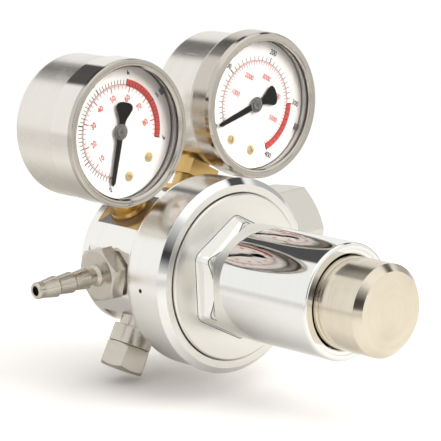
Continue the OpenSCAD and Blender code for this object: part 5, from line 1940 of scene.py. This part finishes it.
def dress_nodes() -> None:
    """Gives every CAD node the finish of its slot, with relief that needs no map.

    The gaskets of the windows are the one exception, of grey silicone.
    """
    slots = {row["node"]: row["material_slot"] for row in frame["record"]["subparts"]}
    for name, node in frame["nodes"].items():
        finish = SILICONE if name.endswith("_gasket") else NODE_FINISHES.get(slots[name], STEEL)
        if finish.detail is Detail.TURNED:
            finish = replace(finish, name=finish.name + " part", detail=Detail.GRAIN)
        material = (WindowGlass() if slots[name] == "window_glass" else finish).material()
        node.data.materials.clear()
        node.data.materials.append(material)
        LOG.info("%s: %s", name, material.name)


# Studio


@dataclass(frozen=True)
class Zone:
    """A soft-edged patch of the surround, between flanks in azimuth and height, in degrees."""

    az_rise: Pair
    az_fall: Pair
    el_rise: Pair
    el_fall: Pair

    def mask(self, g: Graph, az: Socket, el: Socket) -> Socket:
        """Returns 1 inside the zone and 0 outside it."""
        return g.math("MULTIPLY", g.window(az, self.az_rise, self.az_fall),
                      g.window(el, self.el_rise, self.el_fall))


CAMERA_ZONE = Zone((-50.0, -45.0), (-27.0, -19.0), (2.5, 5.5), (80.0, 85.0))
HIGH_STRIPS = (Zone((56.0, 66.0), (200.0, 210.0), (34.0, 38.0), (46.5, 50.0)),
               Zone((-200.0, -190.0), (-175.0, -169.0), (34.0, 38.0), (46.5, 50.0)),
               Zone((151.0, 155.0), (169.0, 173.0), (27.0, 31.0), (46.5, 50.0)))
RIGHT_WALL = Zone((82.0, 92.0), (112.0, 124.0), (-2.0, 2.0), (24.0, 32.0))


@dataclass
class Studio:
    """Camera, floor, world and lamps."""

    eye: Triple = (-589.9, -620.6, 200.97)
    right: Triple = (0.7403001, -0.6707198, -0.0457237)
    up: Triple = (0.1845485, 0.1373509, 0.9731786)
    back: Triple = (-0.64645, -0.7288825, 0.2254612)
    lens: float = 179.59
    floor_z: float = -43.2
    floor_half: float = 1500.0
    shade_at: Triple = (-105.0, 100.0, -43.0)
    fill: float = 0.86
    level: Colour = (0.95, 0.95, 0.94, 1)
    above: Colour = (1.15, 1.15, 1.14, 1)
    beige: Colour = (0.76, 0.745, 0.715, 1)
    grey: Colour = (0.04, 0.04, 0.04, 1)
    dark: Colour = (0.03, 0.028, 0.03, 1)
    black: Colour = (0.02, 0.019, 0.02, 1)
    paper: Colour = (0.955, 0.925, 0.895, 1)
    speckled: Colour = (0.93, 0.90, 0.87, 1)
    shaded: Colour = (0.42, 0.405, 0.37, 1)
    reflected: Colour = (0.66, 0.645, 0.615, 1)

    def build(self) -> None:
        """Builds the whole studio."""
        self.build_camera()
        self.build_world()
        self.build_floor()
        self.build_lamps()
        bpy.context.scene.view_settings.view_transform = "Standard"

    def build_camera(self) -> None:
        """Sets the camera where the photograph was taken from."""
        data = bpy.data.cameras.new("camera")
        data.lens = self.lens
        data.sensor_width = 36.0
        data.clip_start = 0.01
        data.clip_end = 20.0
        camera = bpy.data.objects.new("camera", data)
        bpy.context.scene.collection.objects.link(camera)
        turn = Matrix([self.right, self.up, self.back]).transposed()
        camera.matrix_world = Matrix.Translation(Vector(self.eye) * MM) @ turn.to_4x4()
        bpy.context.scene.camera = camera

    def build_world(self) -> None:
        """Builds a white surround with the dark zones that the photograph's mirrors show.

        With azimuth az = atan2(x, -y) and height el = asin z in degrees, mirrors see a dark
        upright zone where the camera stands, a dark strip high round the right and the back, a
        grey wall on the right, a beige floor below the horizon and a white light above.
        Everything else is lit by an even white.
        """
        world = bpy.data.worlds.new("studio")
        bpy.context.scene.world = world
        world.use_nodes = True
        world.node_tree.nodes.clear()
        g = Graph(world.node_tree)
        way = g.node("ShaderNodeTexCoord").outputs["Generated"]
        parts = g.node("ShaderNodeSeparateXYZ", {0: way})
        ahead = g.math("MULTIPLY", parts.outputs[1], -1.0)
        az = g.math("DEGREES", g.math("ARCTAN2", parts.outputs[0], ahead))
        el = g.math("DEGREES", g.math("ARCSINE", parts.outputs[2]))
        first, second, third = (zone.mask(g, az, el) for zone in HIGH_STRIPS)
        strip = g.math("MAXIMUM", g.math("MAXIMUM", first, second), third)
        wall = g.math("MULTIPLY", RIGHT_WALL.mask(g, az, el), 0.5)
        camera_zone = g.math("MULTIPLY", CAMERA_ZONE.mask(g, az, el),
                             g.spread(el, 22.0, 54.0, 0.97, 0.0))
        tone = g.mix(g.spread(el, 46.0, 52.0, 0.0, 1.0), self.level, self.above)
        tone = g.mix(g.spread(el, 1.0, -3.0, 0.0, 1.0), tone, self.beige)
        tone = g.mix(wall, tone, self.grey)
        tone = g.mix(g.math("MULTIPLY", strip, 0.94), tone, self.dark)
        tone = g.mix(camera_zone, tone, self.black)
        rays = g.node("ShaderNodeLightPath")
        seen = g.math("MAXIMUM", rays.outputs["Is Camera Ray"], rays.outputs["Is Transmission Ray"])
        base = g.node("ShaderNodeBackground", {"Color": (1, 1, 1, 1), "Strength": self.fill})
        shown = g.node("ShaderNodeBackground", {"Color": (1, 1, 1, 1), "Strength": 1.0})
        glossy = g.node("ShaderNodeBackground", {"Color": tone, "Strength": 1.0})
        lit = g.node("ShaderNodeMixShader", {0: rays.outputs["Is Glossy Ray"], 1: base.outputs[0],
                                             2: glossy.outputs[0]})
        both = g.node("ShaderNodeMixShader", {0: seen, 1: lit.outputs[0], 2: shown.outputs[0]})
        g.node("ShaderNodeOutputWorld", {"Surface": both.outputs[0]})

    def build_floor(self) -> None:
        """Builds a pale floor that fades all round into the white background.

        Mirrors see it darker near shade_at, where the object shades it.
        """
        count = 25
        grid = np.linspace(-self.floor_half, self.floor_half, count)
        x, y = np.meshgrid(grid, grid)
        points = np.stack([x - REACH, y, np.full(x.shape, self.floor_z)], -1).reshape(-1, 3)
        a = (np.arange(count - 1)[:, None] * count + np.arange(count - 1)[None, :]).ravel()
        faces = np.stack([a, a + 1, a + count + 1, a + count], axis=1)
        made, g = blank_material("pale floor")
        spot = g.node("ShaderNodeTexCoord").outputs["Object"]

        def distance(at: Triple) -> Socket:
            """Returns the distance in metres from a point that is given in millimetres."""
            moved = g.node("ShaderNodeMapping", {"Vector": spot,
                                                 "Location": [-v * MM for v in at]}).outputs[0]
            return g.node("ShaderNodeVectorMath", {0: moved}, operation="LENGTH").outputs["Value"]

        gone = g.spread(distance((-REACH, 0.0, 0.0)), 0.18, 0.55, 0.0, 1.0)
        speck = g.node("ShaderNodeTexNoise", {"Vector": spot, "Scale": 900.0,
                                              "Detail": 3.0}).outputs[0]
        shown = g.mix(g.spread(speck, 0.3, 0.7, 0.0, 1.0), self.paper, self.speckled)
        near = g.spread(distance(self.shade_at), 0.03, 0.12, 0.0, 1.0)
        mirrored = g.node("ShaderNodeLightPath").outputs["Is Glossy Ray"]
        colour = g.mix(mirrored, shown, g.mix(near, self.shaded, self.reflected))
        matte = g.node("ShaderNodeBsdfPrincipled", {"Base Color": colour, "Roughness": 0.9})
        clear = g.node("ShaderNodeBsdfTransparent")
        both = g.node("ShaderNodeMixShader", {0: gone, 1: matte.outputs[0], 2: clear.outputs[0]})
        g.node("ShaderNodeOutputMaterial", {"Surface": both.outputs[0]})
        world = Place((0.0, 0.0, 0.0), (1.0, 0.0, 0.0), (0.0, 1.0, 0.0), (0.0, 0.0, 1.0))
        plain_mesh("floor", points, faces, world, made)

    def build_lamps(self) -> None:
        """Hangs a wide soft lamp above and stands one at the right front."""
        self.lamp("overhead", (60.0, -430.0, 1080.0), (-71.0, -30.0, 0.0), 1100.0, 9.0)
        self.lamp("right_front", (200.0, -950.0, 320.0), (-71.0, -30.0, 30.0), 420.0, 9.0)

    def lamp(self, name: str, at: Triple, to: Triple, size: float, power: float) -> None:
        """Adds one square lamp.

        Args:
            name: Name of the lamp.
            at: Its place in millimetres.
            to: The point that it faces.
            size: Its side in millimetres.
            power: Its power in watts.
        """
        data = bpy.data.lights.new(name, "AREA")
        data.size = size * MM
        data.energy = power
        lamp = bpy.data.objects.new(name, data)
        lamp.visible_glossy = False
        bpy.context.scene.collection.objects.link(lamp)
        way = Vector(at) - Vector(to)
        lamp.matrix_world = (Matrix.Translation(Vector(at) * MM)
                             @ way.to_track_quat("Z", "Y").to_matrix().to_4x4())


SPRINGS = (
    CoilSpring("main_spring", body_place(), wire=3.0, turns=7.0, mover="adjuster"),
    CoilSpring("poppet_spring", body_place(), wire=0.8, turns=6.5, mover="valve"),
    CoilSpring("relief_spring", port_place(RELIEF_ANGLE), wire=0.7, turns=5.5,
               mover="relief_valve_head", moves_high=False))
LOW_PRESSURE = Gauge(
    "low", LOW_ANGLE, case_r=26.0, bezel_r=26.6, opening_r=23.4, dial_depth=9.3,
    style=BezelStyle.ROLLED, danger=4.0,
    outer_scale=Scale(6.0, tuple(range(7)), major=1.0, minor=0.1, outer=19.1, major_len=2.2,
                      minor_len=1.6, number_r=21.1, number_size=2.7),
    inner_scale=Scale(87.0, tuple(range(10, 90, 10)), major=10.0, minor=2.0, outer=16.4,
                      major_len=2.0, minor_len=1.1, number_r=12.2, number_size=3.0))
HIGH_PRESSURE = Gauge(
    "high", HIGH_ANGLE, case_r=25.6, bezel_r=27.9, opening_r=23.9, dial_depth=7.9,
    style=BezelStyle.SWELLED, danger=300.0,
    outer_scale=Scale(400.0, tuple(range(0, 500, 100)), major=100.0, minor=10.0, outer=18.8,
                      major_len=2.2, minor_len=1.6, number_r=20.9, number_size=2.9),
    inner_scale=Scale(5800.0, tuple(range(1000, 6000, 1000)), major=1000.0, minor=100.0,
                      outer=16.1, major_len=2.0, minor_len=1.1, number_r=11.2, number_size=2.8,
                      major_w=0.2))


def main() -> None:
    """Builds the parts in order."""
    logging.basicConfig(level=logging.INFO, format="%(name)s: %(message)s")
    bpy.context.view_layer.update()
    dress_nodes()
    for part in (Body(), ClampRing(), Bonnet(), EndCap(), InletConnection(), OutletBarb(),
                 ReliefValve(), *SPRINGS, LOW_PRESSURE, HIGH_PRESSURE):
        part.build()
        LOG.info("built %s", type(part).__name__)
    Studio().build()


if __name__ == "__main__":
    main()
